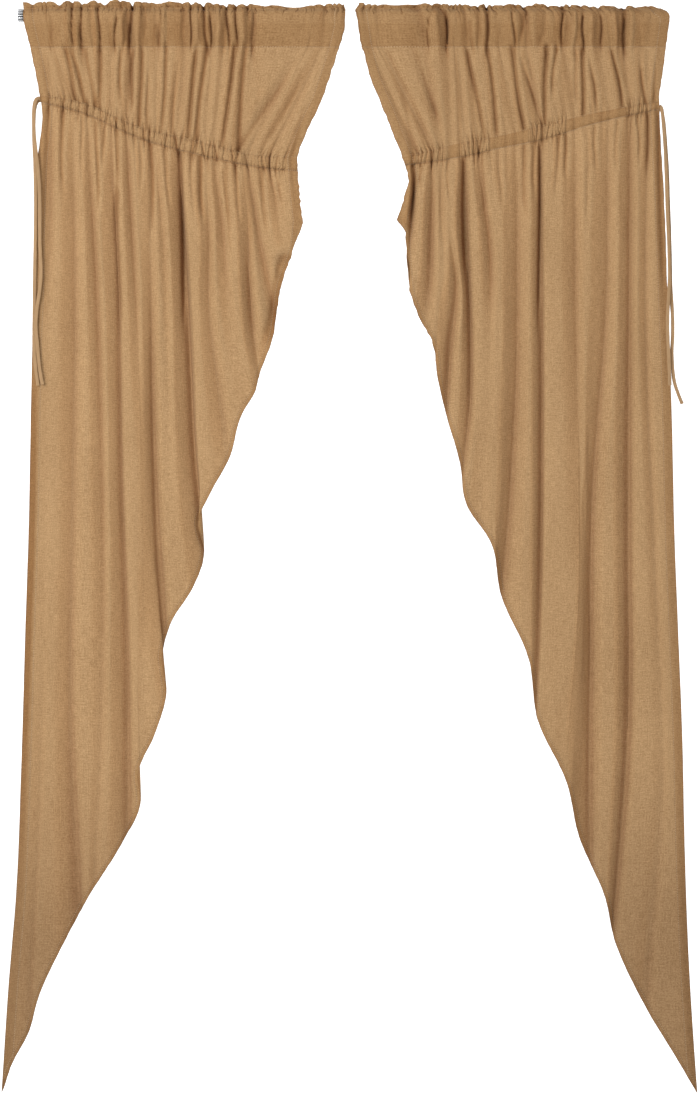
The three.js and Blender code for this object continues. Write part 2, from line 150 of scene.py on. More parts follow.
# Steps of the smooth curves along a tie and along an outline, and the cells of the uneven values
PATH_STEPS = 1500
OUTLINE_STEPS = 160
NOISE_CELLS = 64

# One main fold, or an edge of the panel, whose place in the skirt comes from its outline. It has
# its x in the pocket and at five steps down the skirt, the drop of the hem, its depth in the pocket
# and in the bodice, and its depth at the five steps. On its left and right the cloth rises over a
# band, and the rest of the way over its reach, which goes to the next fold if none is given.
Fold = namedtuple("Fold", "pocket skirt hem pleat deep band reach", defaults=((12, 7), (1e6, 1e6)))
AT_EDGE = (0, 0, 0, 0, 0)

# The two panels. Their tables are how dark the painted shade is where the outer edge turns under,
# as (drop, share), the two outlines, as (drop, x), the casing's two lines of stitches, as (x, upper
# drop, lower drop), and the main folds from left to right.
LEFT = {
    "name": "left",
    "edges": ("outer", "inner"),
    "turned_under": (
        (100, 0), (500, 0.1), (620, 0.2), (700, 0.65), (1640, 0.6), (1800, 0.3), (2110, 0.3),
    ),
    "outer": (
        (-26, -641), (-1, -639), (13, -638), (62, -627), (117, -615), (156, -608), (195, -602),
        (234, -605), (258, -609), (283, -612), (340, -615), (460, -617), (558, -618), (620, -621),
        (754, -624), (1008, -629), (1224, -636), (1459, -643), (1730, -654), (1898, -668), (2110, -682),
    ),
    "inner": (
        (-22, -14), (-11, -9), (1, -12), (23, -12), (58, -20), (107, -35), (166, -55), (234, -88),
        (279, -104), (342, -100), (407, -92), (446, -107), (475, -116), (526, -135), (591, -145),
        (632, -151), (703, -177), (738, -186), (779, -210), (867, -236), (938, -274), (991, -297),
        (1052, -286), (1120, -307), (1191, -351), (1244, -367), (1334, -360), (1408, -382),
        (1487, -415), (1538, -409), (1624, -448), (1730, -514), (1814, -559), (1922, -609),
        (1994, -630), (2055, -662), (2110, -680),
    ),
    "casing": (
        (-604, 157, 170), (-529, 170, 189), (-412, 219, 240), (-294, 248, 273), (-176, 275, 297),
        (-102, 277, 305),
    ),
    "folds": (
        Fold(-627, AT_EDGE, 2110, (1, 3), (3, 5, 5, 4, 3), reach=(0, 18)),
        Fold(-594, (-583, -590, -597, -607, -629), 1983, (3, 6), (14, 2, 1, 4, 6)),
        Fold(-578, (-541, -537, -541, -547, -538), 1757, (5, 7), (11, 11, 9, 11, 16), (20, 13)),
        Fold(-527, (-512, -494, -483, -482, -490), 1706, (8, 9), (14, 13, 10, 6, 5), (14, 7)),
        Fold(-466, (-468, -453, -447, -436, -434), 1600, (8, 7), (15, 15, 16, 17, 16), (23, 4), (60, 30)),
        Fold(-429, (-435, -420, -409, -405, -400), 1444, (12, 10), (14, 10, 2, 2, 3), (10, 6)),
        Fold(-396, (-396, -389, -387, -377, -356), 1224, (4, 5), (5, 12, 19, 20, 18), (22, 9)),
        Fold(-376, (-380, -363, -355, -350, -327), 1155, (8, 8), (15, 12, 6, 2, 2), (14, 7)),
        Fold(-318, (-338, -324, -314, -304, -286), 1055, (9, 11), (21, 29, 26, 24, 20), (25, 6), (60, 34)),
        Fold(-268, (-284, -275, -275, -257, -236), 867, (7, 8), (9, 12, 10, 8, 6)),
        Fold(-247, (-264, -251, -242, -230, -194), 744, (5, 7), (16, 15, 8, 3, 2)),
        Fold(-190, (-212, -203, -198, -191, -177), 703, (8, 7), (5, 12, 20, 19, 10)),
        Fold(-96, (-200, -188, -176, -161, -147), 597, (2, 8), (13, 19, 20, 17, 10), (15, 7)),
        Fold(-51, (-155, -146, -139, -131, -122), 489, (2, 9), (14, 11, 6, 3, 3)),
        Fold(-20, AT_EDGE, 432, (0, 3), (4, 4, 3, 2, 2), reach=(16, 0)),
    ),
}

RIGHT = {
    "name": "right",
    "edges": ("inner", "outer"),
    "turned_under": ((100, 0.05), (400, 0.1), (900, 0.1), (1400, 0.15), (1700, 0.3), (2110, 0.3)),
    "outer": (
        (-22, 602), (-14, 608), (-5, 621), (3, 626), (28, 623), (87, 616), (156, 606), (224, 608),
        (362, 615), (538, 621), (754, 629), (1008, 635), (1224, 643), (1426, 651), (1642, 656),
        (1849, 664), (1992, 673), (2112, 682),
    ),
    "inner": (
        (-23, 19), (-9, 12), (-3, 14), (13, 17), (56, 23), (126, 41), (205, 74), (293, 108),
        (326, 116), (401, 92), (424, 109), (497, 113), (544, 118), (591, 135), (638, 160),
        (714, 172), (791, 191), (881, 216), (961, 229), (1028, 273), (1138, 297), (1259, 349),
        (1385, 369), (1500, 423), (1608, 449), (1724, 498), (1820, 521), (1941, 578), (2049, 643),
        (2112, 680),
    ),
    "casing": (
        (108, 277, 293), (216, 250, 277), (294, 236, 260), (372, 217, 244), (490, 189, 209),
        (608, 168, 183),
    ),
    "folds": (
        Fold(23, AT_EDGE, 401, (0, 4), (4, 4, 3, 2, 2), reach=(0, 12)),
        Fold(41, (131, 126, 120, 116, 111), 526, (2, 5), (14, 18, 14, 8, 4), (5, 8), (16, 20)),
        Fold(61, (163, 162, 160, 158, 150), 609, (3, 8), (12, 17, 17, 13, 5)),
        Fold(147, (180, 179, 184, 178, 169), 677, (9, 10), (16, 12, 5, 5, 6)),
        Fold(192, (200, 197, 209, 196, 190), 787, (9, 8), (4, 3, 16, 20, 14)),
        Fold(212, (227, 229, 236, 238, 230), 910, (7, 9), (20, 27, 22, 16, 8), (15, 6)),
        Fold(231, (250, 274, 274, 266, 255), 1001, (7, 7), (12, 14, 4, 2, 6)),
        Fold(294, (330, 329, 327, 318, 306), 1142, (9, 8), (12, 17, 20, 20, 18), (20, 14)),
        Fold(347, (375, 376, 377, 375, 369), 1369, (8, 11), (15, 16, 18, 17, 9), (14, 4)),
        Fold(425, (443, 443, 448, 446, 421), 1496, (8, 7), (10, 12, 9, 2, 2), (20, 9)),
        Fold(490, (505, 503, 476, 468, 458), 1665, (7, 7), (13, 15, 21, 26, 24), (25, 14)),
        Fold(535, (550, 548, 547, 549, 530), 1802, (10, 11), (15, 17, 19, 19, 13), (19, 8)),
        Fold(584, (584, 581, 598, 613, 584), 1949, (3, 6), (8, 8, 5, 4, 6)),
        Fold(619, AT_EDGE, 2112, (1, 3), (3, 4, 4, 4, 3), reach=(18, 0)),
    ),
}

# Creases between the main folds, as (x, drop, x, drop, depth, width) from upper to lower end.
# Where the depth is below 0 the cloth stands up in a soft ridge.
LEFT_CREASES = {
    "pocket": (
        (-584, 5, -582, 60, 3, 5), (-545, -21, -543, 60, 7, 3.2), (-527, -17, -525, 62, 8, 3.6),
        (-506, -7, -504, 62, 3, 4), (-492, -15, -490, 62, 8, 3.6), (-457, 5, -461, 62, 8, 3.4),
        (-427, -21, -431, 62, 10, 3.6), (-441, 24, -443, 62, 3, 3), (-398, -11, -400, 28, 2, 5),
        (-370, -7, -372, 62, 7, 3.4), (-325, -3, -327, 56, 3, 5), (-310, -19, -312, 62, 9, 3.2),
        (-288, -15, -280, 60, 8, 4), (-272, 5, -272, 62, 7, 3), (-241, -11, -237, 62, 8, 3.6),
        (-223, -19, -221, 62, 8, 3.4), (-188, -7, -190, 60, 4, 4), (-172, -23, -172, 28, 3, 5),
        (-476, -24, -470, -7, 4, 3), (-357, -23, -359, -3, 4, 3), (-294, -23, -296, -9, 5, 3),
        (-251, -23, -253, -7, 5, 3), (-202, -23, -200, -7, 4, 3), (-536, -15, -535, 68, -5, 5),
        (-474, -13, -474, 62, -5, 10), (-443, -7, -447, 48, -4, 4), (-414, -17, -414, 68, -6, 6),
        (-363, -15, -367, 64, -6, 6), (-300, -11, -298, 62, -6, 6), (-257, -7, -259, 60, -8, 9),
        (-210, -15, -210, 68, -6, 8),
    ),
    "bodice": (
        (-559, 62, -533, 181, 6, 5), (-547, 66, -514, 189, 6, 5), (-517, 66, -498, 197, 5, 5),
        (-490, 64, -490, 201, 6, 5), (-451, 64, -449, 158, 5, 4), (-424, 66, -429, 185, 6, 4),
        (-408, 66, -412, 236, 6, 5), (-359, 60, -370, 244, 6, 5), (-298, 60, -321, 256, 7, 5),
        (-281, 60, -304, 264, 6, 5), (-226, 60, -251, 279, 7, 5), (-204, 60, -223, 283, 6, 6),
        (-190, 60, -178, 166, 3, 6), (-112, 98, -224, 272, 5, 7), (-394, 87, -398, 236, 4, 4),
        (-337, 87, -351, 244, 4, 4), (-76, 84, -168, 262, 4, 8), (-73, 150, -120, 291, 3, 7),
    ),
    "skirt": (
        (-127, 470, -170, 650, 8, 12), (-498, 205, -494, 381, 6, 5), (-451, 228, -451, 313, 2, 4),
        (-455, 342, -449, 616, 5, 5), (-333, 258, -325, 610, 8, 4), (-459, 222, -456, 400, 5, 4),
        (-390, 244, -386, 420, 5, 5), (-247, 300, -236, 470, 4, 5),
        (-410, 244, -410, 330, 3, 4), (-363, 256, -355, 362, 3, 4), (-312, 268, -308, 371, 3, 4),
        (-294, 273, -290, 391, 6, 5), (-243, 283, -237, 400, 3, 5), (-225, 287, -216, 400, 3, 4),
        (-174, 297, -165, 430, 5, 6), (-137, 301, -135, 362, 3, 5), (-564, 181, -563, 342, 5, 5),
        (-527, 189, -525, 313, 4, 4), (-484, 209, -484, 293, 4, 4), (-592, 173, -600, 420, 3, 5),
    ),
}

RIGHT_CREASES = {
    "pocket": (
        (43, 28, 43, 64, 2, 6), (122, 17, 122, 62, 3, 8), (153, 9, 153, 64, 7, 3.4),
        (188, -5, 191, 64, 10, 3), (235, 9, 239, 64, 4, 5), (251, -11, 253, 62, 5, 6),
        (269, -15, 269, 64, 10, 4.5), (318, -7, 323, 64, 7, 3.4), (339, 1, 335, 48, 4, 5),
        (382, -3, 374, 56, 4, 8), (416, -15, 414, 52, 8, 3.2), (455, 1, 457, 60, 9, 3.6),
        (490, 1, 494, 60, 6, 3.4), (506, -3, 508, 56, 3, 5), (535, -17, 538, 66, 10, 4),
        (568, -3, 568, 60, 2, 7), (165, -17, 159, -3, 5, 3), (176, -13, 184, -1, 5, 3),
        (206, -21, 200, -7, 4, 3), (343, -15, 345, -1, 5, 3), (427, -19, 431, -5, 4, 3),
        (470, -19, 474, -5, 4, 3), (167, -7, 172, 64, -6, 7), (202, -7, 218, 64, -5, 9),
        (290, -13, 292, 64, -4, 10), (439, -11, 435, 64, -7, 6), (472, -11, 474, 64, -6, 7),
        (519, -15, 521, 64, -6, 4), (551, -15, 549, 64, -4, 5), (361, -11, 357, 56, -3, 7),
    ),
    "bodice": (
        (74, 68, 157, 244, 4, 6), (129, 72, 172, 205, 4, 6), (231, 68, 265, 248, 6, 5),
        (270, 64, 292, 248, 6, 5), (316, 60, 345, 240, 7, 5), (337, 83, 367, 189, 4, 4),
        (386, 60, 380, 220, 7, 5), (404, 64, 396, 150, 5, 4), (457, 66, 457, 209, 7, 5),
        (470, 83, 484, 181, 5, 4), (514, 68, 537, 189, 6, 4), (568, 79, 578, 173, 5, 4),
        (102, 146, 129, 264, 3, 6), (441, 68, 445, 166, 4, 4), (598, 79, 598, 173, 3, 4),
    ),
    "skirt": (
        (261, 268, 263, 371, 3, 4), (292, 260, 296, 360, 3, 4), (341, 248, 343, 391, 4, 5),
        (359, 246, 361, 342, 4, 4), (408, 228, 404, 340, 3, 4), (465, 215, 466, 400, 3, 5),
        (421, 224, 423, 303, 4, 4), (480, 211, 480, 293, 4, 4), (523, 199, 521, 293, 4, 4),
        (102, 290, 96, 470, 4, 13), (125, 290, 121, 400, 8, 4), (606, 189, 612, 558, 5, 6),
        (564, 189, 566, 283, 4, 4), (139, 291, 139, 332, 4, 3), (222, 280, 224, 500, 8, 4.5),
        (371, 250, 370, 620, 7, 3.5), (584, 188, 584, 300, 5, 4),
        (190, 283, 192, 342, 4, 4), (206, 279, 204, 340, 2, 4),
    ),
}

# Places along the casing that its drawn ties pinch hardest, as x
LEFT_PUCKERS = (
    -600, -588, -576, -565, -559, -545, -529, -514, -500, -488, -474, -461, -456, -443,
    -435, -425, -415, -405, -392, -382, -372, -359, -343, -330, -319, -307, -300, -291,
    -274, -265, -256, -245, -232, -219, -206, -190, -173, -157, -141, -127,
)
RIGHT_PUCKERS = (
    125, 135, 143, 151, 159, 165, 176, 183, 223, 233, 242, 249, 258, 265,
    359, 368, 377, 384, 391, 399, 417, 550, 557, 568, 576, 582, 594,
)

# Upper edge of the ruffle, as (x, drop)
LEFT_TOP = (
    (-641, -22), (-627, -24), (-608, -23), (-588, -25), (-568, -24), (-559, -21),
    (-549, -24), (-537, -27), (-529, -25), (-519, -24), (-508, -21), (-500, -25),
    (-482, -24), (-472, -19), (-461, -25), (-431, -25), (-410, -23), (-388, -24),
    (-370, -21), (-357, -24), (-333, -23), (-314, -24), (-294, -21), (-274, -23),
    (-251, -19), (-233, -22), (-216, -19), (-192, -21), (-172, -16), (-153, -19),
    (-131, -16), (-104, -15), (-78, -19), (-59, -21), (-33, -22), (-14, -22),
)
RIGHT_TOP = (
    (19, -23), (31, -23), (43, -21), (59, -20), (73, -22), (86, -19),
    (102, -18), (125, -21), (147, -23), (171, -19), (188, -23), (206, -19),
    (227, -21), (251, -17), (274, -21), (304, -17), (333, -21), (359, -17),
    (382, -21), (412, -17), (431, -20), (453, -17), (474, -18), (490, -15),
    (514, -18), (537, -14), (553, -16), (578, -15), (608, -16), (615, -12),
)

# Ties, as points of (x, forward, drop) from the casing's outer end down
TIES = {
    "left_tie_front": (
        (-606.4, -1, 163), (-610.6, 1.5, 162), (-614.8, 5, 165.5), (-617.4, 9, 174), (-618.6, 13, 188),
        (-618.4, 17, 215), (-617.4, 19, 236), (-615, 20, 259), (-612, 21, 284), (-609.4, 21.5, 308),
        (-607.4, 21.5, 333), (-606.4, 21.5, 372), (-606, 21.5, 450), (-604.4, 21.5, 485),
        (-604, 21.5, 507), (-607, 21.5, 544), (-612, 21.5, 577), (-614, 21.5, 607), (-611, 21.5, 646),
        (-607.4, 21.5, 685), (-603.5, 21.5, 712), (-600.6, 21.5, 724),
    ),
    "left_tie_back": (
        (-606.6, -4, 166), (-610.8, -3.2, 166.5), (-614.8, -0.5, 172), (-617.6, 3, 184),
        (-618.9, 8, 208), (-618.5, 12, 248), (-616.5, 15, 283), (-615, 17, 340), (-614.8, 18, 380),
        (-615.5, 18, 450), (-616.5, 18, 510), (-617, 18, 560), (-617.5, 18, 600), (-617.6, 18, 645),
        (-615, 18, 687), (-610, 18, 726),
    ),
    "right_tie_front": (
        (606.5, -1, 177), (610, 2, 181), (612, 7, 194), (613, 11, 208), (616, 15, 254),
        (618, 18, 303), (619.4, 20, 352), (620.4, 21, 391), (622.8, 21.5, 440), (624, 22, 489),
        (624.4, 22, 518), (622.6, 22, 551), (620.6, 22, 597), (621, 22, 630), (622.6, 22, 662),
        (625, 22, 726),
    ),
    "right_tie_back": (
        (606.6, -4, 180), (610.5, -4, 184), (614, 0, 202), (616.6, 4, 232), (618.6, 8, 262),
        (621, 11, 305), (622.4, 13, 352), (624, 15, 400), (625.4, 16, 446), (626.4, 17, 500),
        (627.6, 17, 540), (629.4, 17, 569), (630.8, 17, 598), (630.8, 17, 630), (629.6, 17, 662),
        (633.6, 17, 716), (641.6, 17, 742), (649.6, 17, 762),
    ),
}

TIE_RINGS = 110
TIE_SIDES = 12
TIE_TWIST = 0.3

CAP_SPAN = (-650.3, -640)
CAP_RADIUS = 12.4
CAP_FLUTES = 14
CAP_FLUTE_DEPTH = 0.12
CAP_ROUNDING = 2.4

# Floor that sweeps up behind the curtains, in metres
STAGE_SIZE = 40
STAGE_MIDDLE = (0, -2, -2.3)
STAGE_HEIGHT = 14
STAGE_CURVE = 3

# Lights, as (place, sides) in metres, all aimed at one place
LIGHTS = {
    "key": ((-2.4, -3.9, 0.6), (2.4, 2.6)),
    "fill": ((3.2, -3.6, -0.6), (2.4, 3.0)),
    "back": ((2.2, 3.6, 0.4), (2.4, 2.6)),
}
LIT_PLACE = Vector((0, 0, -0.75))


# Numbers along tables and between folds

def curve(start, end, leave, arrive, t):
    """Smooth curve from start to end, with its slopes there, at shares t of the way."""
    return (
        start * (2 * t**3 - 3 * t**2 + 1)
        + leave * (t**3 - 2 * t**2 + t)
        + end * (3 * t**2 - 2 * t**3)
        + arrive * (t**3 - t**2)
    )


def at_table(rows, place, column=1):
    """Smooth value of a table's column at one or more places."""
    ordered = sorted(rows)
    places = np.array([row[0] for row in ordered], float)
    values = np.array([row[column] for row in ordered], float)
    slopes = np.gradient(values, places)
    place = np.clip(place, places[0], places[-1])
    step = np.clip(np.searchsorted(places, place, side="right") - 1, 0, len(places) - 2)
    gap = places[step + 1] - places[step]
    t = (place - places[step]) / gap
    return curve(values[step], values[step + 1], slopes[step] * gap, slopes[step + 1] * gap, t)


def on_outline(rows, place):
    """Value of an outline's table, which keeps its corners above the skirt and is curved below."""
    ordered = sorted(rows)
    straight = np.interp(place, [row[0] for row in ordered], [row[1] for row in ordered])
    return mix(straight, at_table(rows, place), smooth_step(480, 560, place))


def along_steps(values, fold, share):
    """Smooth value at a share of the way along each fold's equally spaced values."""
    last = values.shape[1] - 1
    place = share * last
    step = np.minimum(np.floor(place).astype(int), last - 1)
    t = place - step
    before, start, end, after = (
        values[fold, np.clip(step + shift, 0, last)] for shift in (-1, 0, 1, 2)
    )
    return curve(start, end, (end - before) / 2, (after - start) / 2, t)


def mix(low, high, share):
    return low + (high - low) * share


def smooth_step(low, high, value):
    t = np.clip((value - low) / (high - low), 0, 1)
    return t * t * (3 - 2 * t)


def fold_share(distance, reach, band):
    """How much of a fold's depth is left at a distance from its valley.

    The cloth rises from the valley over a band, the rest of the way over the fold's whole reach.
    """
    rounding = np.minimum(VALLEY_ROUNDING, 0.3 * band)
    rounded = np.sqrt(distance**2 + rounding**2) - rounding
    whole = np.maximum(reach, 1e-6)
    slope = np.clip(1 - rounded / whole, 0, 1)
    facet = np.clip(1 - rounded / np.minimum(FACET_REACH * band, whole), 0, 1)
    share = mix(slope**FOLD_ROUNDNESS, facet**FACET_ROUNDNESS, FACET_SHARE)
    return np.where(reach > 0, share, 0)


def bell(distance, width):
    """1 at no distance, falling smoothly to about a third at the width."""
    return np.exp(-((distance / width) ** 2))


def running(steps):
    """Sums of the steps so far, from 0."""
    return np.concatenate([[0], np.cumsum(steps)])


def soft_noise(u, v, seed):
    """Smooth uneven values from about -1 to 1 over a plane."""
    rng = np.random.default_rng(seed)
    grid = rng.uniform(-1, 1, (NOISE_CELLS, NOISE_CELLS))
    iu, iv = np.floor(u).astype(int), np.floor(v).astype(int)
    fu, fv = smooth_step(0, 1, u - iu), smooth_step(0, 1, v - iv)
    left, right = iu % NOISE_CELLS, (iu + 1) % NOISE_CELLS
    rows = iv % NOISE_CELLS, (iv + 1) % NOISE_CELLS
    return mix(*(mix(grid[left, row], grid[right, row], fu) for row in rows), fv)


class HangingPanel:
    """Where the cloth of one panel hangs, in millimetres, for columns at places along its casing."""

    def __init__(self, panel, creases, puckers, top, seed):
        self.panel = panel
        self.creases = creases
        self.puckers = puckers
        self.top = top
        self.seed = seed
        self.pocket_places, self.skirts, hems, self.pleats, self.deeps, bands, reaches = (
            np.array(column, float) for column in zip(*panel["folds"])
        )
        self.falling, self.rising = bands.T
        self.reach_left, self.reach_right = reaches.T
        casing = panel["casing"]
        self.seam_places = self.skirts[:, 0].copy()
        self.seam_places[[0, -1]] = casing[0][0], casing[-1][0]
        self.seam_x = np.linspace(self.seam_places[0], self.seam_places[-1], COLUMNS)
        fold = np.searchsorted(self.seam_places, self.seam_x, side="right") - 1
        self.fold = np.clip(fold, 0, len(self.seam_places) - 2)
        low, high = self.both(self.seam_places)
        self.part = (self.seam_x - low) / (high - low)
        self.upper, self.lower = (at_table(casing, self.seam_x, column) for column in (1, 2))
        self.hem = self.between(hems)
        around = np.pad(self.pleats[:, 0], 1, mode="edge")
        self.lift = self.between((around[:-2] + 2 * around[1:-1] + around[2:]) * PLEAT_LIFT)
        rng = np.random.default_rng(seed)
        self.casing_pins = self.pins(rng, (11, 22), CASING_PINCHES)
        self.pucker_pins = [(x, *(rng.uniform(*span) for span in PUCKERS)) for x in puckers]
        self.stitch_pins = self.pins(rng, (13, 27), POCKET_PINCHES)
        self.ruffle_pins = self.pins(rng, (9, 24), RUFFLE_PINCHES)

    def pins(self, rng, pitch, spans):
        """Small pinches along a line of stitches, as (x, a size in each span), unevenly spaced."""
        place = self.seam_places[0]
        found = []
        while place < self.seam_places[-1]:
            place += rng.uniform(*pitch)
            found.append((place, *(rng.uniform(*span) for span in spans)))
        return found

    def pinched(self, pins, below, slanted=0.0):
        """Depth of a line's pinches at each distance below it, which is negative above it.

        The pinches lean to either side, the more so the greater the slanted distance.
        """
        total = np.zeros(np.broadcast(self.seam_x, below).shape)
        for place, depth, width, up, down in pins:
            away = np.exp(-np.where(below < 0, -below / up, below / down) ** 1.2)
            line = place + PINCH_LEAN * math.sin(1.7 * place) * slanted
            total += depth * away * bell(self.seam_x - line, width)
        return total

    def gathered(self):
        """How closely the casing is gathered at each column, up to 1."""
        near_by = [bell(self.seam_x - x, GATHER_REACH) for x in self.puckers]
        from_end = np.minimum(self.seam_x - self.seam_x[0], self.seam_x[-1] - self.seam_x)
        closed = np.minimum(1, 0.8 * np.sum(near_by, axis=0))
        return closed * smooth_step(*GATHER_ENDS, from_end)

    def both(self, values):
        """Values of the folds to the left and right of each column."""
        return values[..., self.fold], values[..., self.fold + 1]

    def between(self, values):
        return mix(*self.both(values), self.part)

    def along(self, steps, share):
        """Values of the folds beside each column, at a share of the way along their steps."""
        return [along_steps(steps, fold, share) for fold in (self.fold, self.fold + 1)]

    def outlines(self, drop):
        """The panel's left and right edges at a drop."""
        return [on_outline(self.panel[edge], drop) for edge in self.panel["edges"]]

    def beside(self, places, drop):
        """Places of the folds to the left and right of each column, on the outline at the edges."""
        low, high = (np.array(np.broadcast_to(side, drop.shape), float) for side in places)
        first, last = self.fold == 0, self.fold == len(self.seam_places) - 2
        low[:, first] = self.outlines(drop[:, first])[0]
        high[:, last] = self.outlines(drop[:, last])[1]
        return low, high

    def taken(self, x, places, deeps):
        """Depth that the folds beside each column take from the crest."""
        low, high = places
        gap = np.maximum(high - low, 0.1)
        right = np.minimum(gap, self.reach_right[self.fold])
        left = np.minimum(gap, self.reach_left[self.fold + 1])
        return (
            deeps[0] * fold_share(x - low, right, self.rising[self.fold])
            + deeps[1] * fold_share(high - x, left, self.falling[self.fold + 1])
        )

    def crease_depth(self, kinds, x, drop):
        """Depth of the creases of some parts; each runs a little past its two ends."""
        total = np.zeros(x.shape)
        for kind in kinds:
            for x0, drop0, x1, drop1, depth, width in self.creases[kind]:
                share = (drop - drop0) / (drop1 - drop0)
                line = mix(x0, x1, np.clip(share, -0.3, 1.6))
                line = line + CREASE_WANDER * np.sin(share * 5 + x0)
                # A crease that starts well below the pocket's stitches deepens slowly
                loose = kind == "bodice" and drop0 > POCKET_STITCH + 13
                above, begins = CREASE_START
                if loose:
                    begins = 0.5 * (drop1 - drop0)
                fade = smooth_step(drop0 - above, drop0 + begins, drop)
                fade = fade * smooth_step(drop1 + CREASE_END, mix(drop1, drop0, 0.25), drop)
                if kind == "pocket" and depth > 0:
                    width = 0.85 * width
                total += CREASING[kind] * depth * fade * bell(x - line, width)
        return total

    def pocket(self, drop, side):
        """Front (side 1) or back (side -1) layer of the pocket and ruffle."""
        stitched, opposite = self.outlines(POCKET_STITCH)
        place = self.between(self.pocket_places)
        x = mix(*self.outlines(drop), (place - stitched) / (opposite - stitched))
        taken = self.taken(place, self.both(self.pocket_places), self.both(self.pleats[:, 0]))
        # What the pleats leave of the lift, eased to 0 where they take it all
        spare = self.lift - taken
        wave = PLEAT_CREST * (spare + np.sqrt(spare**2 + 3)) / 2
        forward, share = (at_table(POCKET_ROWS, drop, column) for column in (1, 2))
        pinch = self.pinched(self.ruffle_pins, drop - RUFFLE_STITCH)
        pinch += self.pinched(self.stitch_pins, drop - POCKET_STITCH)
        pinch += self.crease_depth(("pocket", "bodice"), x, drop)
        pinch *= 1 + 0.7 * bell(drop - RUFFLE_STITCH, 5)
        level = wave * share - pinch
        flat = np.clip(1 - (forward - STITCHED_FORWARD) / 5, 0, 1)
        if side > 0:
            forward = forward + level
        else:
            forward = -forward + level * mix(-BACK_PLEAT, 1, flat)
        # The cloth stays clear of the rod
        bare = np.sqrt(np.clip(ROD_RADIUS**2 - drop**2, 0, None))
        limit = np.where(np.abs(drop) < ROD_RADIUS + 1, bare + ROD_CLEARANCE, -np.inf)
        forward = np.maximum(forward, limit) if side > 0 else np.minimum(forward, -limit)
        return x, forward, drop, pinch

    def bodice(self, share):
        """Cloth between the pocket's lower stitches and the casing."""
        drop = mix(POCKET_STITCH, self.upper, share)
        moved = self.pocket_places + (self.skirts[:, 0] - self.pocket_places) * share
        places = self.beside(self.both(moved), drop)
        x = mix(*places, self.part)
        seam = np.full(len(self.pleats), SEAM_DEPTH)
        steps = np.column_stack([STITCHED_PLEAT * self.pleats[:, 0], self.pleats[:, 1], seam])
        taken = self.taken(x, places, self.along(steps, share))
        lift = STITCHED_FORWARD + STITCHED_PLEAT * self.lift
        crest = mix(lift, SEAM_CREST, share) + BODICE_BULGE * np.sin(np.pi * share)
        pinch = self.pinched(self.stitch_pins, drop - POCKET_STITCH)
        above = drop - self.upper
        pinch += self.pinched(self.casing_pins, above)
        pinch += self.pinched(self.pucker_pins, above, np.maximum(above, -20))
        pinch += self.crease_depth(("pocket", "bodice"), x, drop)
        return x, crest - taken - pinch + self.ripple(drop, BODICE_RIPPLE), drop, pinch

    def seam(self, share):
        """Cloth between the casing's two lines of stitches."""
        drop = mix(self.upper, self.lower, share)
        places = self.beside(self.both(self.skirts[:, 0]), drop)
        x = mix(*places, self.part)
        taken = self.taken(x, places, (SEAM_DEPTH, SEAM_DEPTH))
        inside = np.clip(share, 0, 1)
        puff = SEAM_PUFF * np.maximum(np.sin(np.pi * inside), 0) ** 0.7 - SEAM_FOOT * inside**3
        pinch = self.pinched(self.casing_pins, 0 * drop)
        pinch += self.pinched(self.pucker_pins, 0 * drop, drop - self.upper)
        forward = SEAM_CREST + puff - taken - pinch * (1 - 0.2 * np.sin(np.pi * share))
        return x, forward, drop, pinch

    def skirt(self, share):
        """Cloth from the casing down to the hem."""
        length = self.hem - self.lower
        drop = self.lower + share * length
        places = self.beside(self.along(self.skirts, share), drop)
        flow = mix(*places, self.part)
        ends = self.beside(self.both(self.skirts[:, -1]), np.atleast_2d(self.hem))
        # Toward the hem each column moves onto the slanted edge; the first one is on its edge
        to_hem = on_outline(self.panel["inner"], self.hem) - mix(*ends, self.part)
        to_hem = np.where((self.part == 0) & (self.fold == 0), 0, to_hem)
        opened = 1 - np.exp(-share * length / OPENING_LENGTH)
        deeps = (np.maximum(0, deep) for deep in self.along(FOLDING * self.deeps, share))
        taken = self.taken(flow, places, [mix(SEAM_DEPTH, deep, opened) for deep in deeps])
        crest = mix(SEAM_CREST, SKIRT_CREST, opened)
        below = drop - self.lower
        pinch = self.pinched(self.casing_pins, below)
        leaning = np.minimum(below, 12) + self.lower - self.upper
        pinch += self.pinched(self.pucker_pins, below, leaning)
        pinch += SEAM_FOOT * bell(below, 4)
        pinch += self.crease_depth(("skirt",), flow, drop)
        ripple = self.ripple(drop, mix(*SKIRT_RIPPLES, opened))
        return flow + to_hem * share**5, crest - taken - pinch + ripple, drop, pinch

    def ripple(self, drop, height):
        u = self.seam_x + 0 * drop
        slow = soft_noise(u / SLOW_RIPPLE[0] + 7, drop / SLOW_RIPPLE[1], self.seed + 1)
        quick = soft_noise(u / QUICK_RIPPLE[0] + 5, drop / QUICK_RIPPLE[1], self.seed + 2)
        return height * (slow + 0.45 * quick)

    def sheet(self):
        """Grid of the whole cloth, from the pocket's turned back edge over the top to the hem.

        Each row is the x, forward and drop of its points, and how deep they are pinched.
        """
        # The ruffle's upper edge dips at its pinches and creases
        top = at_table(self.top, self.between(self.pocket_places))
        top = top + 0.8 * self.pinched(self.ruffle_pins, np.zeros(COLUMNS)) - 1.4
        top_x = self.pocket(top, 1)[0]
        top = top + np.clip(0.45 * self.crease_depth(("pocket",), top_x, 0 * top - 10), -1, 5)
        rows = []
        flat = np.zeros(COLUMNS)
        for drop in np.linspace(POCKET_TURN, RUFFLE_STITCH, POCKET_BACK_ROWS):
            rows.append(self.pocket(flat + drop, -1))
        for share in RUFFLE_STEPS:
            rows.append(self.pocket(mix(RUFFLE_STITCH, top, share), -1))
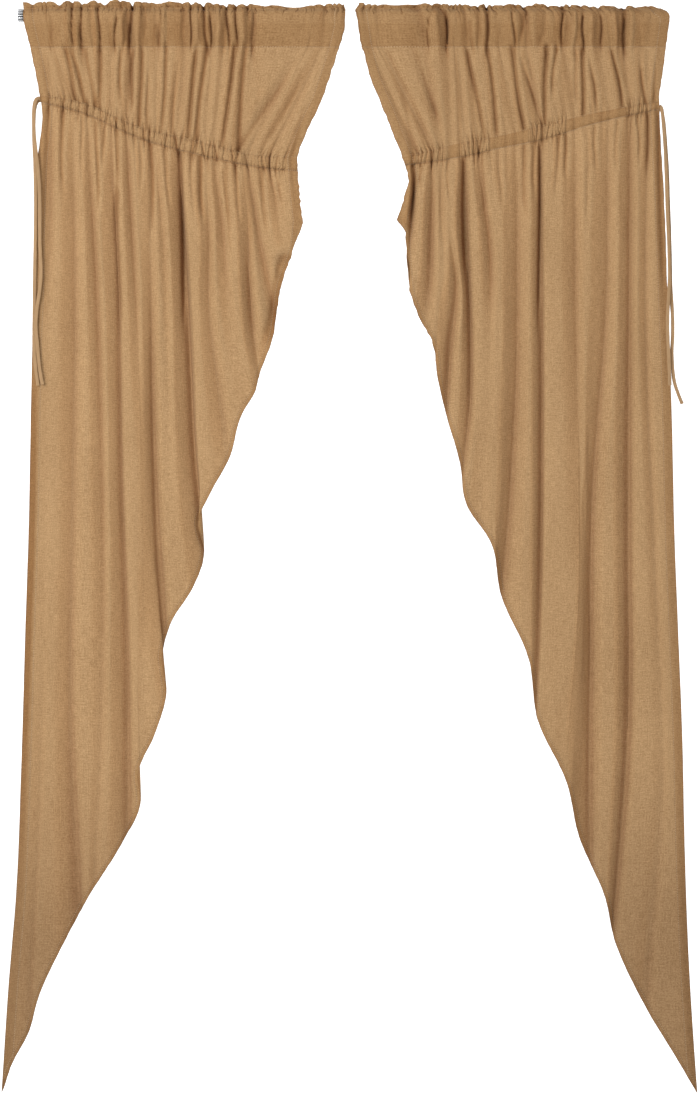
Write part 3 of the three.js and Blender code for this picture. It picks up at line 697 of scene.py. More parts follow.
        # One row along the upper edge joins the back to the front
        x, forward, drop, pinch = self.pocket(top, 1)
        rows.append((x, forward - 0.8, drop, pinch))
        for share in reversed(RUFFLE_STEPS):
            rows.append(self.pocket(mix(RUFFLE_STITCH, top, share), 1))
        for drop in np.linspace(RUFFLE_STITCH, POCKET_STITCH, POCKET_FRONT_ROWS):
            rows.append(self.pocket(flat + drop, 1))
        bodice, casing, skirt = (
            np.linspace(0, 1, count + 1)[1:, None] for count in (BODICE_ROWS, CASING_ROWS, SKIRT_ROWS)
        )
        rows.extend(zip(*self.bodice(bodice)))
        rows.extend(zip(*self.seam(casing)))
        # The skirt's rows lie closer together near the casing
        rows.extend(zip(*self.skirt(0.42 * skirt + 0.58 * skirt * skirt)))
        return np.array(rows)


# Meshes

def to_metres(x, forward, drop):
    return np.stack([x, -forward, -drop], axis=-1) * MM


def add_object(name, data):
    thing = bpy.data.objects.new(name, data)
    bpy.context.scene.collection.objects.link(thing)
    return thing


def grid_mesh(name, grid, values, threads=None):
    """Object from a grid of points, with the lengths along its threads as its UV map."""
    points = to_metres(grid[:, 0], grid[:, 1], grid[:, 2])
    shape = points.shape[:2]
    number = np.arange(points[..., 0].size).reshape(shape)
    corners = [number[:-1, :-1], number[1:, :-1], number[1:, 1:], number[:-1, 1:]]
    faces = np.stack([c.ravel() for c in corners], axis=-1)
    mesh = bpy.data.meshes.new(name)
    mesh.from_pydata(points.reshape(-1, 3).tolist(), [], faces.tolist())
    mesh.update()
    across = np.linalg.norm(np.diff(points, axis=1), axis=2).mean(axis=0)
    fall = np.linalg.norm(np.diff(points, axis=0)[..., 1:], axis=2).mean(axis=1)
    u = np.broadcast_to(running(across), shape)
    v = np.broadcast_to(running(fall)[:, None], shape) if threads is None else threads * MM
    uv = np.stack([u, -v], axis=-1).reshape(-1, 2)
    loops = np.empty(len(mesh.loops), int)
    mesh.loops.foreach_get("vertex_index", loops)
    layer = mesh.uv_layers.new(name="cloth")
    layer.data.foreach_set("uv", uv[loops].ravel())
    for key, value in values.items():
        attribute = mesh.attributes.new(key, "FLOAT", "POINT")
        attribute.data.foreach_set("value", np.broadcast_to(value, shape).ravel().astype("f"))
    return add_object(name, mesh)


def select_only(thing):
    bpy.ops.object.select_all(action="DESELECT")
    thing.select_set(True)
    bpy.context.view_layer.objects.active = thing


def thicken(thing, thickness):
    """Give a sheet its thickness, half to each side."""
    modifier = thing.modifiers.new("thickness", "SOLIDIFY")
    modifier.thickness = thickness
    modifier.offset = 0
    select_only(thing)
    bpy.ops.object.modifier_apply(modifier=modifier.name)
    bpy.ops.object.shade_smooth_by_angle(angle=math.radians(60))


def distance_to_outline(x, drop, outline):
    """Distance in millimetres of places in the view to an outline."""
    nearest = np.full(x.shape, np.inf)
    corners = [row[0] for row in outline]
    even = np.linspace(min(corners), max(corners), OUTLINE_STEPS)
    places = np.unique(np.concatenate([corners, even]))
    rows = list(zip(places, on_outline(outline, places)))
    for (drop0, x0), (drop1, x1) in zip(rows[:-1], rows[1:]):
        dx, dd = x1 - x0, drop1 - drop0
        share = np.clip(((x - x0) * dx + (drop - drop0) * dd) / (dx * dx + dd * dd), 0, 1)
        nearest = np.minimum(nearest, np.hypot(x - x0 - share * dx, drop - drop0 - share * dd))
    return nearest


def hollows(forward, reach=12):
    """How far each place lies behind the cloth within a reach of columns, in millimetres."""
    padded = np.pad(forward, ((0, 0), (reach, reach)), mode="edge")
    width = 2 * reach + 1
    total = np.cumsum(np.pad(padded, ((0, 0), (1, 0))), axis=1)
    return (total[:, width:] - total[:, :-width]) / width - forward


def facing(x, forward, reach=4):
    """Sideways slope of the cloth over a reach of columns, positive where it faces left."""
    column = np.arange(x.shape[1])
    after = np.minimum(column + reach, len(column) - 1)
    before = np.maximum(column - reach, 0)
    run = np.maximum(x[:, after] - x[:, before], 2)
    return np.clip((forward[:, after] - forward[:, before]) / run, -1, 1)


def make_curtain(hanging, sizes, material):
    panel = hanging.panel
    grid = hanging.sheet()
    x, forward, drop, pinch = grid[:, 0], grid[:, 1], grid[:, 2], grid[:, 3]
    outer = distance_to_outline(x, drop, panel["outer"])
    inner = distance_to_outline(x, drop, panel["inner"])
    # The inner edge's hem is as wide as the outer one's down to where the slant begins
    slant = mix(sizes.side_hem, sizes.slant_hem, smooth_step(400, 450, drop)) / MM
    # The edges are slightly rough, and smoother in the lower part of the skirt
    rough = soft_noise(drop / 7 + 3, drop / 90, hanging.seed + 5)
    rough = rough * (1 - 0.75 * smooth_step(600, 760, drop))
    toward = np.sign(x.mean() - x)
    grid[:, 0] += bell(inner, 4) * rough * INNER_ROUGHNESS * toward
    grid[:, 0] += bell(outer, 4) * rough * OUTER_ROUGHNESS * toward
    values = {
        "past_outer_hem": (outer - sizes.side_hem / MM) * MM,
        "past_inner_hem": (inner - slant) * MM,
        "below_ruffle": (drop - RUFFLE_STITCH) * MM,
        "below_pocket": (drop - POCKET_STITCH) * MM,
        "below_casing_top": (drop - hanging.upper) * MM,
        "below_casing_foot": (drop - hanging.lower) * MM,
        "edge": np.minimum(outer, inner) * MM,
        # How deep each place lies in a fold and which way it faces, which the material turns into painted
        # shade
        "hollow": hollows(forward) * MM,
        "facing": facing(x, forward),
        "gathered": hanging.gathered(),
        "pinched": pinch * MM,
        "turned_under": at_table(panel["turned_under"], drop),
    }
    # The threads run up the pocket's back, over the ruffle and down the front
    top_row = int(np.argmin(drop.mean(axis=1)))
    turned = np.sign(np.arange(len(drop)) - top_row + 0.5)[:, None]
    threads = turned * (drop + 26) + 4 * soft_noise(x / 90 + 3, drop / 240, hanging.seed + 9)
    thing = grid_mesh(f"{panel['name']}_curtain_cloth", grid, values, threads)
    thing.data.materials.append(material)
    thicken(thing, sizes.cloth_thickness)
    return thing


def make_casing(hanging, sizes, material):
    """Strip sewn on the back of the cloth, in which the ties lie, finished as gathered cloth."""
    shares = np.linspace(-0.04, 1.04, 8)[:, None]
    x, forward, drop, _ = hanging.seam(shares)
    behind = CASING_GAP + CASING_BULGE * np.sin(np.pi * np.clip(shares, 0, 1))
    grid = np.stack([x, forward - behind, drop], axis=1)
    ones = ("past_outer_hem", "past_inner_hem", "below_ruffle", "below_pocket", "edge", "gathered")
    values = {
        **dict.fromkeys(ones, 1.0),
        **dict.fromkeys(("hollow", "facing", "pinched", "turned_under"), 0.0),
        "below_casing_top": (drop - hanging.upper) * MM,
        "below_casing_foot": (drop - hanging.lower) * MM,
    }
    thing = grid_mesh(f"{hanging.panel['name']}_casing_strip", grid, values)
    thing.data.materials.append(material)
    thicken(thing, sizes.casing_thickness)
    return thing


def smooth_path(points, count):
    """Points evenly spaced along a smooth curve through the given ones."""
    points = np.array(points, float)
    knots = running(np.linalg.norm(np.diff(points, axis=0), axis=1) ** 0.5)
    fine = np.linspace(0, knots[-1], PATH_STEPS)
    columns = [at_table(list(zip(knots, column)), fine) for column in points.T]
    lengths = running(np.linalg.norm(np.diff(columns, axis=1), axis=0))
    even = np.linspace(0, lengths[-1], count)
    return np.stack([np.interp(even, lengths, column) for column in columns], axis=1), lengths[-1]


def make_tie(name, points, sizes, material):
    """Flat tape with rounded edges along its path; returns the piece, its path and its length."""
    route = to_metres(*np.array(points, float).T)
    path, length = smooth_path(route, TIE_RINGS)
    along = np.gradient(path, axis=0)
    along /= np.linalg.norm(along, axis=1)[:, None]
    wide = np.cross([0.0, 1.0, 0.0], along)
    wide /= np.linalg.norm(wide, axis=1)[:, None]
    thick = np.cross(along, wide)
    vertices = []
    seed = sum(map(ord, name))
    angles = [2 * math.pi * (side + 0.5) / TIE_SIDES for side in range(TIE_SIDES)]
    for share, centre, across, out in zip(np.linspace(0, 1, TIE_RINGS), path, wide, thick):
        turn = TIE_TWIST * soft_noise(np.array(share * 6.0), np.array(2.0), seed) * min(1, share * 8)
        pinch = 1 + 0.05 * soft_noise(np.array(share * 40.0), np.array(5.0), seed)
        flat_side = math.cos(turn) * across + math.sin(turn) * out
        edge_on = math.cos(turn) * out - math.sin(turn) * across
        for angle in angles:
            flat = math.copysign(abs(math.cos(angle)) ** 0.6, math.cos(angle))
            vertices.append(
                centre + flat_side * flat * pinch * sizes.tie_width / 2
                + edge_on * math.sin(angle) * sizes.tie_thickness / 2
            )
    faces = []
    for start in range(0, (TIE_RINGS - 1) * TIE_SIDES, TIE_SIDES):
        for side in range(TIE_SIDES):
            a, b = start + side, start + (side + 1) % TIE_SIDES
            faces.append((a, b, b + TIE_SIDES, a + TIE_SIDES))
    faces.append(tuple(range(TIE_SIDES - 1, -1, -1)))
    faces.append(tuple(range((TIE_RINGS - 1) * TIE_SIDES, TIE_RINGS * TIE_SIDES)))
    mesh = bpy.data.meshes.new(name)
    mesh.from_pydata([tuple(v) for v in vertices], [], faces)
    mesh.update()
    layer = mesh.uv_layers.new(name="tape")
    for loop, corner in zip(mesh.loops, layer.data):
        ring, side = divmod(loop.vertex_index, TIE_SIDES)
        corner.uv = (
            0.5 * sizes.tie_width * math.cos(angles[side]), length * ring / (TIE_RINGS - 1),
        )
    thing = add_object(name, mesh)
    thing.data.materials.append(material)
    select_only(thing)
    bpy.ops.object.mode_set(mode="EDIT")
    bpy.ops.mesh.select_all(action="SELECT")
    bpy.ops.mesh.normals_make_consistent(inside=False)
    bpy.ops.object.mode_set(mode="OBJECT")
    bpy.ops.object.shade_smooth_by_angle(angle=math.radians(50))
    return thing, path, length


# Materials

WHITE = (1.0, 1.0, 1.0)

# Distance between the fine crimps at the casing and the ruffle, in metres
CASING_CRIMP = 0.0098
RUFFLE_CRIMP = 0.0135


class Shade:
    """Output of a material's node, on which maths reads as plain Python."""

    def __init__(self, maker, socket):
        self.maker = maker
        self.socket = socket

    def maths(self, operation, *others):
        values = {number: value for number, value in enumerate((self, *others))}
        return self.maker.node("ShaderNodeMath", {"operation": operation}, values)

    def __add__(self, other):
        return self.maths("ADD", other)

    __radd__ = __add__

    def __sub__(self, other):
        return self.maths("SUBTRACT", other)

    def __rsub__(self, other):
        return self * -1 + other

    def __mul__(self, other):
        return self.maths("MULTIPLY", other)

    __rmul__ = __mul__

    def __abs__(self):
        return self.maths("ABSOLUTE")

    def at_least(self, other):
        return self.maths("MAXIMUM", other)

    def at_most(self, other):
        return self.maths("MINIMUM", other)

    def sine(self):
        return self.maths("SINE")

    def ramp(self, low, high):
        """0 below low, 1 above high, smooth between; high may be the smaller one."""
        inputs = {"Value": self, "From Min": low, "From Max": high}
        settings = {"interpolation_type": "SMOOTHSTEP", "clamp": True}
        return self.maker.node("ShaderNodeMapRange", settings, inputs)


class Finish:
    """Procedural material of one finish."""

    def __init__(self, name, **constants):
        self.material = bpy.data.materials.new(name)
        self.material.use_nodes = True
        self.tree = self.material.node_tree
        self.shader = self.tree.nodes["Principled BSDF"]
        for socket, value in constants.items():
            self.shader.inputs[socket.replace("_", " ")].default_value = value

    def node(self, kind, settings=None, inputs=None, output=0):
        """Add a node, with its settings and the values or links of its inputs."""
        node = self.tree.nodes.new(kind)
        for key, value in (settings or {}).items():
            setattr(node, key, value)
        for key, value in (inputs or {}).items():
            if isinstance(value, Shade):
                self.tree.links.new(value.socket, node.inputs[key])
            else:
                node.inputs[key].default_value = value
        return Shade(self, node.outputs[output])

    def attributes(self, *names):
        return [
            self.node("ShaderNodeAttribute", {"attribute_name": name}, output="Fac")
            for name in names
        ]

    def split(self, vector, *axes):
        return [self.node("ShaderNodeSeparateXYZ", None, {"Vector": vector}, axis) for axis in axes]

    def uv(self, name):
        return self.split(self.node("ShaderNodeUVMap", {"uv_map": name}), "X", "Y")

    def place(self, *axes):
        """Some of a point's own coordinates, in metres."""
        return self.split(self.node("ShaderNodeTexCoord", output="Object"), *axes)

    def noise(self, u, v, scale_u, scale_v, detail=2.0, shift=0.0):
        """Noise from 0 to 1 with features of 1/scale_u by 1/scale_v metres."""
        place = self.node(
            "ShaderNodeCombineXYZ", None, {"X": u * scale_u, "Y": v * scale_v, "Z": shift}
        )
        inputs = {"Vector": place, "Scale": 1.0, "Detail": detail}
        return self.node("ShaderNodeTexNoise", {"noise_dimensions": "3D"}, inputs)

    def blend(self, first, second, share, kind="MIX"):
        """Mix of two colours, each a Shade or (r, g, b)."""
        first, second = (c if isinstance(c, Shade) else (*c, 1) for c in (first, second))
        settings = {"data_type": "RGBA", "blend_type": kind, "clamp_factor": True}
        return self.node("ShaderNodeMix", settings, {0: share, 6: first, 7: second}, 2)

    def toned(self, colour, *tones):
        """Colour multiplied by one tone after the other, each as far as its share."""
        for tone, share in tones:
            colour = self.blend(colour, tone, share, "MULTIPLY")
        return colour

    def bump(self, height, distance, strength=1.0, normal=None):
        inputs = {"Height": height, "Distance": distance, "Strength": strength}
        if normal is not None:
            inputs["Normal"] = normal
        return self.node("ShaderNodeBump", None, inputs)

    def feed(self, socket, value):
        self.tree.links.new(value.socket, self.shader.inputs[socket])


def plain_weave(u, v, pitch):
    """Height of a plain weave, from 0 to 1, with its yarns a pitch apart."""
    across, along = u * (math.pi / pitch), v * (math.pi / pitch)
    turn = (across + math.pi / 2).sine() * (along + math.pi / 2).sine()
    warp, weft = abs(across.sine()), abs(along.sine())
    return (warp * (turn * 0.3 + 0.7)).at_least(weft * (0.7 - turn * 0.3))


def crimps(finish, u, v, pitch):
    """Row of unevenly spaced small puffs, 0 in the pits between them."""
    uneven = finish.noise(u, v, 22, 14, 1.0, pitch * 1000) * 9
    uneven = uneven + finish.noise(u, v, 75, 85, 1.0, pitch * 3000) * 4
    return abs((u * (math.pi / pitch) + uneven).sine())


def near(value, line, width):
    """1 on a line of an attribute's values, 0 further than a width from it."""
    return abs(value - line).ramp(width, width * 0.4)


def burlap_finish(name, colours, sizes):
    finish = Finish(name, Roughness=0.92, Specular_IOR_Level=0.12, Sheen_Weight=0.03)
    u, v = finish.uv("cloth")
    outer, inner, edge = finish.attributes("past_outer_hem", "past_inner_hem", "edge")
    ruffle, pocket = finish.attributes("below_ruffle", "below_pocket")
    casing_top, casing_foot = finish.attributes("below_casing_top", "below_casing_foot")
    hollow, slope, gathered = finish.attributes("hollow", "facing", "gathered")
    pinched, turned_under = finish.attributes("pinched", "turned_under")

    # Yarns of uneven thickness and tone, in patches and with flecks
    slub_u = finish.noise(u, v, 420, 45, 2.5)
    slub_v = finish.noise(u, v, 64, 430, 2.5, 4.0)
    patch = finish.noise(u, v, 9, 5, 3.0, 9.0)
    fleck = finish.noise(u, v, 420, 330, 2.0, 13.0)
    tone = (slub_u * 1.1 + slub_v * 1.3 + patch * 0.5 + fleck * 2.0 - 2.45) * 0.95 + 0.5
    colour = finish.blend(colours.yarn_dark, colours.yarn_light, tone)

    # Painted shade on the doubled cloth, which lets less light through, on the rod's band through the
    # pocket, deep in the hollows, on cloth that faces right, along the edges and toward the darker tips
    heading = pocket.ramp(0.001, -0.001)
    casing = casing_top.ramp(-0.001, 0.001) * casing_foot.ramp(0.001, -0.001)
    hems = (outer.ramp(0.0006, -0.0006) * 0.5).at_least(inner.ramp(0.0006, -0.0006) * 0.7)
    rod_shade = ruffle.ramp(0.026, 0.036) * hollow.ramp(-0.0045, -0.0005) * heading
    # Painted shade where the cloth lies doubled and on the rod's band behind the pocket
    doubled_shade = (heading * 0.74 + rod_shade * 0.75).at_least(casing * (1.2 - gathered * 0.95))
    colour = finish.toned(
        colour,
        (colours.doubled_shade, doubled_shade.at_least(hems)),
        (colours.upper, casing_top.ramp(0.0, -0.004)),
        # Painted shade deep in the folds
        (colours.hollow, hollow.ramp(0.0005, 0.008)),
        # Painted shade, darker toward the lower tips
        (colours.tip_shade, pocket.ramp(1.34, 1.8)),
        # Painted shade on cloth that faces right, away from the key light on the left
        (colours.away, slope.ramp(0.04, -0.34)),
        # Painted shade along the edges where the cloth curves back, and on the outer edge turned under
        (colours.shaded, edge.ramp(0.0028, 0.0004) * 0.55),
        (colours.shaded, outer.ramp(-0.002, -0.013) * turned_under),
    )

    # Fine crimps of the gathers, too small for the mesh, with painted shade in their pits and along the
    # pinches, and a painted shadow below the casing's lower stitches
    reach = finish.noise(u, v, 130, 0, 0.0, 40.0) * 0.05 - 0.006
    by_casing = casing_top.ramp(reach * -1, 0.0) * casing_foot.ramp(reach, 0.0) * gathered
    inside = casing_top.ramp(0.001, 0.006) * casing_foot.ramp(-0.001, -0.006)
    by_casing = by_casing * (1 - inside * 0.65)
    by_ruffle = abs(ruffle).ramp(reach * 0.9, 0.0) * 1.6
    puff = crimps(finish, u, v, CASING_CRIMP)
    creased = puff.ramp(0.42, 0.0) * by_casing
    creased = creased + crimps(finish, u, v, RUFFLE_CRIMP).ramp(0.34, 0.0) * by_ruffle
    creased = creased * finish.noise(u, v, 60, 30, 1.0, 50.0).ramp(0.3, 0.6)
    # Painted shadow below the casing's lower stitches
    below = near(casing_foot, 0.0012, 0.0042) * gathered * 0.5
    between = creased.at_most(1.0).at_least(pinched.ramp(0.0016, 0.008) * 0.65).at_least(below)
    colour = finish.toned(colour, (colours.shaded, between))

    # Lines of stitches, with shaded gaps between the stitches
    lines = (near(ruffle, 0.0, 0.0014) * 0.35).at_least(near(pocket, 0.0, 0.0014) * 0.7)
    lines = lines.at_least(near(casing_top, 0.0, 0.0012) * (0.3 - gathered * 0.2))
    lines = lines.at_least(near(casing_foot, 0.0, 0.0016) * (0.9 - gathered * 0.4))
    side_lines = near(outer, -0.0015, 0.0011).at_least(near(inner, -0.0015, 0.0011))
    stitch_u, stitch_v = (
        (along * (2 * math.pi / sizes.stitch_length)).sine().ramp(-0.5, 0.1) for along in (u, v)
    )
    stitches = (lines * stitch_u).at_least(side_lines * stitch_v)
    gaps = (lines * (1 - stitch_u)).at_least(side_lines * (1 - stitch_v))
    colour = finish.blend(colour, colours.stitch, stitches * 0.35)
    finish.feed("Base Color", finish.toned(colour, (colours.shaded, gaps * 0.5)))

    # Relief of the weave, of what is sewn, and of the crimps, one over the other
    weave = plain_weave(u, v, sizes.yarn_pitch)
    cloth = weave * 0.6 + slub_u * 0.5 + slub_v * 0.5 + fleck * 0.25
    sewn = hems * 0.7 + heading * 0.3 + casing * 0.3 - lines * 0.9 - side_lines * 0.6 + stitches * 0.5
    crimped = puff * casing * gathered * 0.6 - creased
    relief = finish.bump(cloth, 0.0007, 0.55)
    relief = finish.bump(sewn, 0.0009, 0.8, relief)
    finish.feed("Normal", finish.bump(crimped, 0.0019, 0.7, relief))
    return finish.material


def tape_finish(name, colours):
    finish = Finish(name, Roughness=0.85, Specular_IOR_Level=0.2, Sheen_Weight=0.1)
    u, v = finish.uv("tape")
    zigzag = (abs(u * 900) * 2.2 + v * 2600).sine()
    wear = finish.noise(u, v, 300, 60, 3.0)
    edge = abs(u).ramp(0.0022, 0.0034)
    tone = zigzag * 0.12 + wear * 0.7 + 0.15 - edge * 0.2
    finish.feed("Base Color", finish.blend(colours.tape_dark, colours.tape_light, tone))
    finish.feed("Normal", finish.bump(zigzag * 0.4 + wear * 0.5, 0.0004, 0.5))
    return finish.material


def steel_finish(name, colours, fluted=False):
    finish = Finish(name, Metallic=0.85, Specular_IOR_Level=0.5)
    x, z = finish.place("X", "Z")
    drawn = finish.noise(x, z, 25, 2600, 3.0)
    dull = finish.noise(x, z, 90, 90, 4.0, 3.0)
    colour = finish.blend(colours.steel_dark, colours.steel, drawn * 0.5 + dull * 0.5)
    if fluted:
        [groove] = finish.attributes("groove")
        # Painted shade, near black, in the grooves between the flutes
        colour = finish.blend(colour, colours.groove_shade, groove.ramp(0.15, 0.75))
    finish.feed("Base Color", colour)
    finish.feed("Roughness", drawn * 0.12 + dull * 0.14 + 0.22)
    finish.feed("Normal", finish.bump(drawn, 0.00008, 0.4))
    return finish.material


def stage_finish(name, colours):
    finish = Finish(name, Roughness=0.9, Emission_Strength=0.6)
    x, y = finish.place("X", "Y")
    fibre = finish.noise(x, y, 3, 3, 4.0)
    far = y.ramp(-0.5, 1.5)
    finish.feed("Base Color", finish.blend(colours.stage, WHITE, far * 0.8 + fibre * 0.2))
    finish.feed("Emission Color", finish.blend((0.1, 0.1, 0.1), WHITE, far))
    return finish.material


# Sizes and colours that a user would change

def size(label, description, default, low, high):
    return bpy.props.FloatProperty(
        name=label, description=description, default=default, min=low, max=high,
        subtype="DISTANCE", unit="LENGTH", precision=4,
    )


def power(label, description, default):
    return bpy.props.FloatProperty(
        name=label, description=description, default=default, min=0, subtype="POWER", unit="POWER"
    )


def tint(label, description, default):
    return bpy.props.FloatVectorProperty(
        name=label, description=description, default=default, size=3, min=0, max=1, subtype="COLOR"
    )


class CurtainSizes(bpy.types.PropertyGroup):
    cloth_thickness: size("Cloth thickness", "Thickness of the burlap", 0.001, 0.0004, 0.003)
    casing_thickness: size("Casing thickness", "Thickness of the casing's strip", 0.0009, 0.0004, 0.002)
    yarn_pitch: size("Yarn pitch", "Distance between the yarns of the weave", 0.00125, 0.0005, 0.004)
    side_hem: size("Side hem", "Width of the hem along the outer edge", 0.0195, 0.004, 0.03)
    slant_hem: size("Slant hem", "Width of the hem along the inner edge and the foot", 0.009, 0.003, 0.03)
    stitch_length: size("Stitch length", "Length of one machine stitch", 0.0034, 0.002, 0.008)
    tie_width: size("Tie width", "Width of the flat ties", 0.007, 0.003, 0.02)
    tie_thickness: size("Tie thickness", "Thickness of the flat ties", 0.0016, 0.0006, 0.004)


class CurtainColours(bpy.types.PropertyGroup):
    yarn_light: tint("Light yarn", "Lightest yarns of the burlap", (0.52, 0.326, 0.1625))
    yarn_dark: tint("Dark yarn", "Darkest yarns of the burlap", (0.333, 0.194, 0.088))
    # Painted shade of doubled cloth, which lets less light through, and of the rod behind the pocket
    doubled_shade: tint("Doubled cloth", "Tone of hems, pocket and casing, multiplied", (0.82, 0.765, 0.69))
    upper: tint("Upper part", "Tone of the cloth above the casing, multiplied", (0.955, 0.95, 0.945))
    # Painted shade deep in the folds
    hollow: tint("Hollows", "Tone deep in the folds, multiplied", (0.84, 0.79, 0.78))
    # Painted shade on cloth that faces right, away from the key light
    away: tint("Turned away", "Tone of the cloth that faces right, multiplied", (0.985, 0.94, 0.9))
    # Painted shade toward the lower tips
    tip_shade: tint("Tips", "Tone toward the lower tips, multiplied", (0.77, 0.755, 0.755))
    # Painted shade of the crimps' pits, the pinches, the stitches' gaps and the edges, and painted shadow
    # under the casing
    shaded: tint("Crimps", "Tone of crimps and of edges turned under, multiplied", (0.70, 0.60, 0.50))
    stitch: tint("Stitches", "Sewing thread", (0.66, 0.50, 0.33))
    tape_light: tint("Light tape", "Lightest yarns of the ties", (0.50, 0.32, 0.17))
    tape_dark: tint("Dark tape", "Darkest yarns of the ties", (0.30, 0.18, 0.085))
    steel: tint("Steel", "Rods and their end cap", (0.74, 0.75, 0.76))
    steel_dark: tint("Dull steel", "Duller streaks of the steel", (0.5, 0.51, 0.53))
    # Painted shade, near black, in the grooves between the end cap's flutes
    groove_shade: tint("Grooves", "Grime between the end cap's flutes", (0.012, 0.012, 0.011))
    stage: tint("Stage", "Floor", (0.6, 0.6, 0.6))


class CurtainLights(bpy.types.PropertyGroup):
    key: power("Key light", "Soft light from the upper left", 158)
    fill: power("Fill light", "Soft light from the right", 12)
    back: power("Back light", "Soft light on the back", 45)
    room: bpy.props.FloatProperty(
        name="Room light", description="Even light from all around", default=0.55, min=0,
        subtype="FACTOR",
    )


def finished(name, make, *values):
    """Material of that name, made the first time that it is asked for."""
    return bpy.data.materials.get(name) or make(name, *values)


# One step for each piece or group of like pieces

class CURTAIN_OT_camera(bpy.types.Operator):
    """Camera straight in front of the curtains"""

    bl_idname = "curtain.camera"
    bl_label = "Camera"

    def execute(self, context):
        lens = bpy.data.cameras.new("front_camera")
        lens.sensor_width = SENSOR_SIZE
        lens.lens = SENSOR_SIZE * CAMERA_DISTANCE / (PHOTO_ROWS * PIXEL)
        lens.clip_end = 60
        camera = add_object("front_camera", lens)
        camera.location = (0, -CAMERA_DISTANCE, VIEW_MIDDLE)
        camera.rotation_euler = (math.pi / 2, 0, 0)
        context.scene.camera = camera
        return {"FINISHED"}


class CURTAIN_OT_ties(bpy.types.Operator):
    """Four flat ties, two from each casing's outer end"""

    bl_idname = "curtain.ties"
    bl_label = "Ties"

    def execute(self, context):
        sizes = context.scene.curtain_sizes
        material = finished("woven_tape", tape_finish, context.scene.curtain_colours)
        for node, points in TIES.items():
            tie, path, length = make_tie(f"{node}_tape", points, sizes, material)
            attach(tie, "root")
            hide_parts(node)
        return {"FINISHED"}


class CURTAIN_OT_panels(bpy.types.Operator):
    """Two curtain panels with the casings on their backs"""

    bl_idname = "curtain.panels"
    bl_label = "Curtains and casings"

    def execute(self, context):
        sizes, colours = context.scene.curtain_sizes, context.scene.curtain_colours
        material = finished("burlap_cloth", burlap_finish, colours, sizes)
        for hanging in (
            HangingPanel(LEFT, LEFT_CREASES, LEFT_PUCKERS, LEFT_TOP, seed=11),
            HangingPanel(RIGHT, RIGHT_CREASES, RIGHT_PUCKERS, RIGHT_TOP, seed=47),
        ):
            name = hanging.panel["name"]
            curtain = make_curtain(hanging, sizes, material)
            casing = make_casing(hanging, sizes, material)
            for piece, node in ((curtain, f"{name}_curtain"), (casing, f"{name}_casing")):
                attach(piece, "root")
                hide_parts(node)
        return {"FINISHED"}


class CURTAIN_OT_rods(bpy.types.Operator):
    """Two plain steel rods and the fluted cap on the left one's end"""

    bl_idname = "curtain.rods"
    bl_label = "Rods and end cap"

    def execute(self, context):
        colours = context.scene.curtain_colours
        material = finished("brushed_steel", steel_finish, colours)
        for name in ("left_rod", "right_rod"):
            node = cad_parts[name]
            node.data.materials.clear()
            node.data.materials.append(material)
        self.add_cap(finished("fluted_steel", steel_finish, colours, True))
        return {"FINISHED"}

    def add_cap(self, material):
        start, end = (x * MM for x in CAP_SPAN)
        bpy.ops.object.select_all(action="DESELECT")
        bpy.ops.mesh.primitive_cylinder_add(
            vertices=8 * CAP_FLUTES, radius=CAP_RADIUS * MM, depth=end - start,
            location=((start + end) / 2, 0, 0), rotation=(0, math.pi / 2, 0),
        )
        cap = bpy.context.active_object
        cap.name = "left_rod_fluted_cap"
        bpy.ops.object.transform_apply(location=True, rotation=True)
        groove = cap.data.attributes.new("groove", "FLOAT", "POINT")
        for vertex, depth in zip(cap.data.vertices, groove.data):
            turn = math.atan2(vertex.co.z, vertex.co.y)
            depth.value = (0.5 + 0.5 * math.cos(turn * CAP_FLUTES + 1.2)) ** 1.5
            inner = 1 - CAP_FLUTE_DEPTH * depth.value
            vertex.co.y *= inner
            vertex.co.z *= inner
        rounding = cap.modifiers.new("rounding", "BEVEL")
        rounding.width = CAP_ROUNDING * MM
        rounding.segments = 4
        rounding.limit_method = "ANGLE"
        rounding.angle_limit = math.radians(60)
        bpy.ops.object.modifier_apply(modifier=rounding.name)
        bpy.ops.object.shade_smooth_by_angle(angle=math.radians(40))
        cap.data.materials.append(material)
        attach(cap, "root")
        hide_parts("left_rod_cap")


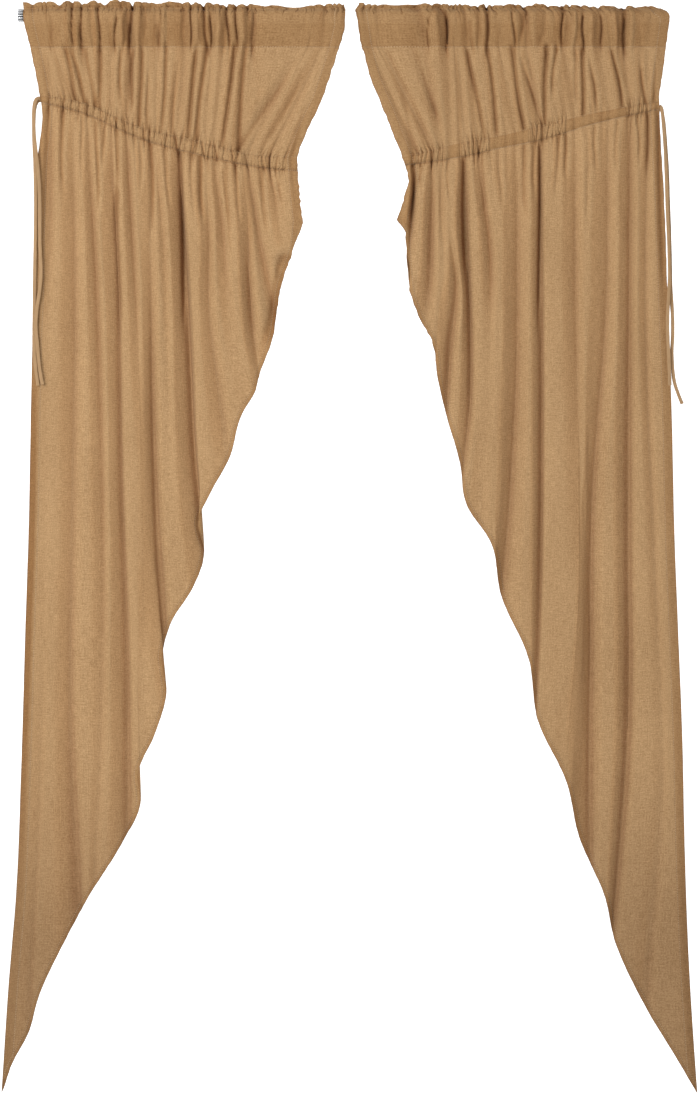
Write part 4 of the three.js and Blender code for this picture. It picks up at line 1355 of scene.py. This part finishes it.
class CURTAIN_OT_stage(bpy.types.Operator):
    """Pale floor and backdrop in one sweep, and soft studio light"""

    bl_idname = "curtain.stage"
    bl_label = "Floor, backdrop and light"

    def execute(self, context):
        scene = context.scene
        lights = scene.curtain_lights
        bpy.ops.object.select_all(action="DESELECT")
        bpy.ops.mesh.primitive_plane_add(size=STAGE_SIZE, location=STAGE_MIDDLE)
        sweep = context.active_object
        sweep.name = "floor_sweep"
        bpy.ops.object.transform_apply(location=True)
        bpy.ops.object.mode_set(mode="EDIT")
        bpy.ops.mesh.select_all(action="DESELECT")
        bpy.ops.object.mode_set(mode="OBJECT")
        behind = STAGE_MIDDLE[1] + STAGE_SIZE / 2 - 0.1
        for edge in sweep.data.edges:
            edge.select = all(sweep.data.vertices[end].co.y > behind for end in edge.vertices)
        bpy.ops.object.mode_set(mode="EDIT")
        bpy.ops.mesh.select_mode(type="EDGE")
        bpy.ops.mesh.extrude_region_move(TRANSFORM_OT_translate={"value": (0, 0, STAGE_HEIGHT)})
        bpy.ops.object.mode_set(mode="OBJECT")
        corner = sweep.modifiers.new("curve", "BEVEL")
        corner.width = STAGE_CURVE
        corner.segments = 16
        select_only(sweep)
        bpy.ops.object.modifier_apply(modifier=corner.name)
        bpy.ops.object.shade_smooth_by_angle(angle=math.radians(60))
        sweep.data.materials.append(finished("pale_paper", stage_finish, scene.curtain_colours))
        for name, (place, sides) in LIGHTS.items():
            self.add_light(f"{name}_light", place, sides, getattr(lights, name))
        world = bpy.data.worlds.new("even_room")
        world.use_nodes = True
        background = world.node_tree.nodes["Background"]
        background.inputs["Color"].default_value = (1, 1, 1, 1)
        background.inputs["Strength"].default_value = lights.room
        scene.world = world
        scene.view_settings.view_transform = "Standard"
        return {"FINISHED"}

    def add_light(self, name, place, sides, watts):
        lamp = bpy.data.lights.new(name, "AREA")
        lamp.shape = "RECTANGLE"
        lamp.size, lamp.size_y = sides
        lamp.energy = watts
        light = add_object(name, lamp)
        light.location = place
        light.visible_camera = False
        light.rotation_euler = (LIT_PLACE - Vector(place)).to_track_quat("-Z", "Y").to_euler()


STEPS = (CURTAIN_OT_camera, CURTAIN_OT_ties, CURTAIN_OT_panels, CURTAIN_OT_rods, CURTAIN_OT_stage)


class CURTAIN_PT_sidebar(bpy.types.Panel):
    """Steps, sizes and colours of the curtains"""

    bl_label = "Curtains"
    bl_idname = "CURTAIN_PT_sidebar"
    bl_space_type = "VIEW_3D"
    bl_region_type = "UI"
    bl_category = "Curtains"

    def draw(self, context):
        scene = context.scene
        for step in STEPS:
            self.layout.operator(step.bl_idname)
        for group in (scene.curtain_sizes, scene.curtain_colours, scene.curtain_lights):
            box = self.layout.box()
            for name in group.__annotations__:
                box.prop(group, name)


GROUPS = {
    "curtain_sizes": CurtainSizes,
    "curtain_colours": CurtainColours,
    "curtain_lights": CurtainLights,
}


def register():
    for kind in (*GROUPS.values(), *STEPS, CURTAIN_PT_sidebar):
        bpy.utils.register_class(kind)
    for name, kind in GROUPS.items():
        setattr(bpy.types.Scene, name, bpy.props.PointerProperty(type=kind))


def unregister():
    for name in GROUPS:
        delattr(bpy.types.Scene, name)
    for kind in reversed((*GROUPS.values(), *STEPS, CURTAIN_PT_sidebar)):
        bpy.utils.unregister_class(kind)


def main():
    register()
    bpy.ops.curtain.camera()
    bpy.ops.curtain.ties()
    bpy.ops.curtain.panels()
    bpy.ops.curtain.rods()
    bpy.ops.curtain.stage()


if __name__ == "__main__":
    main()
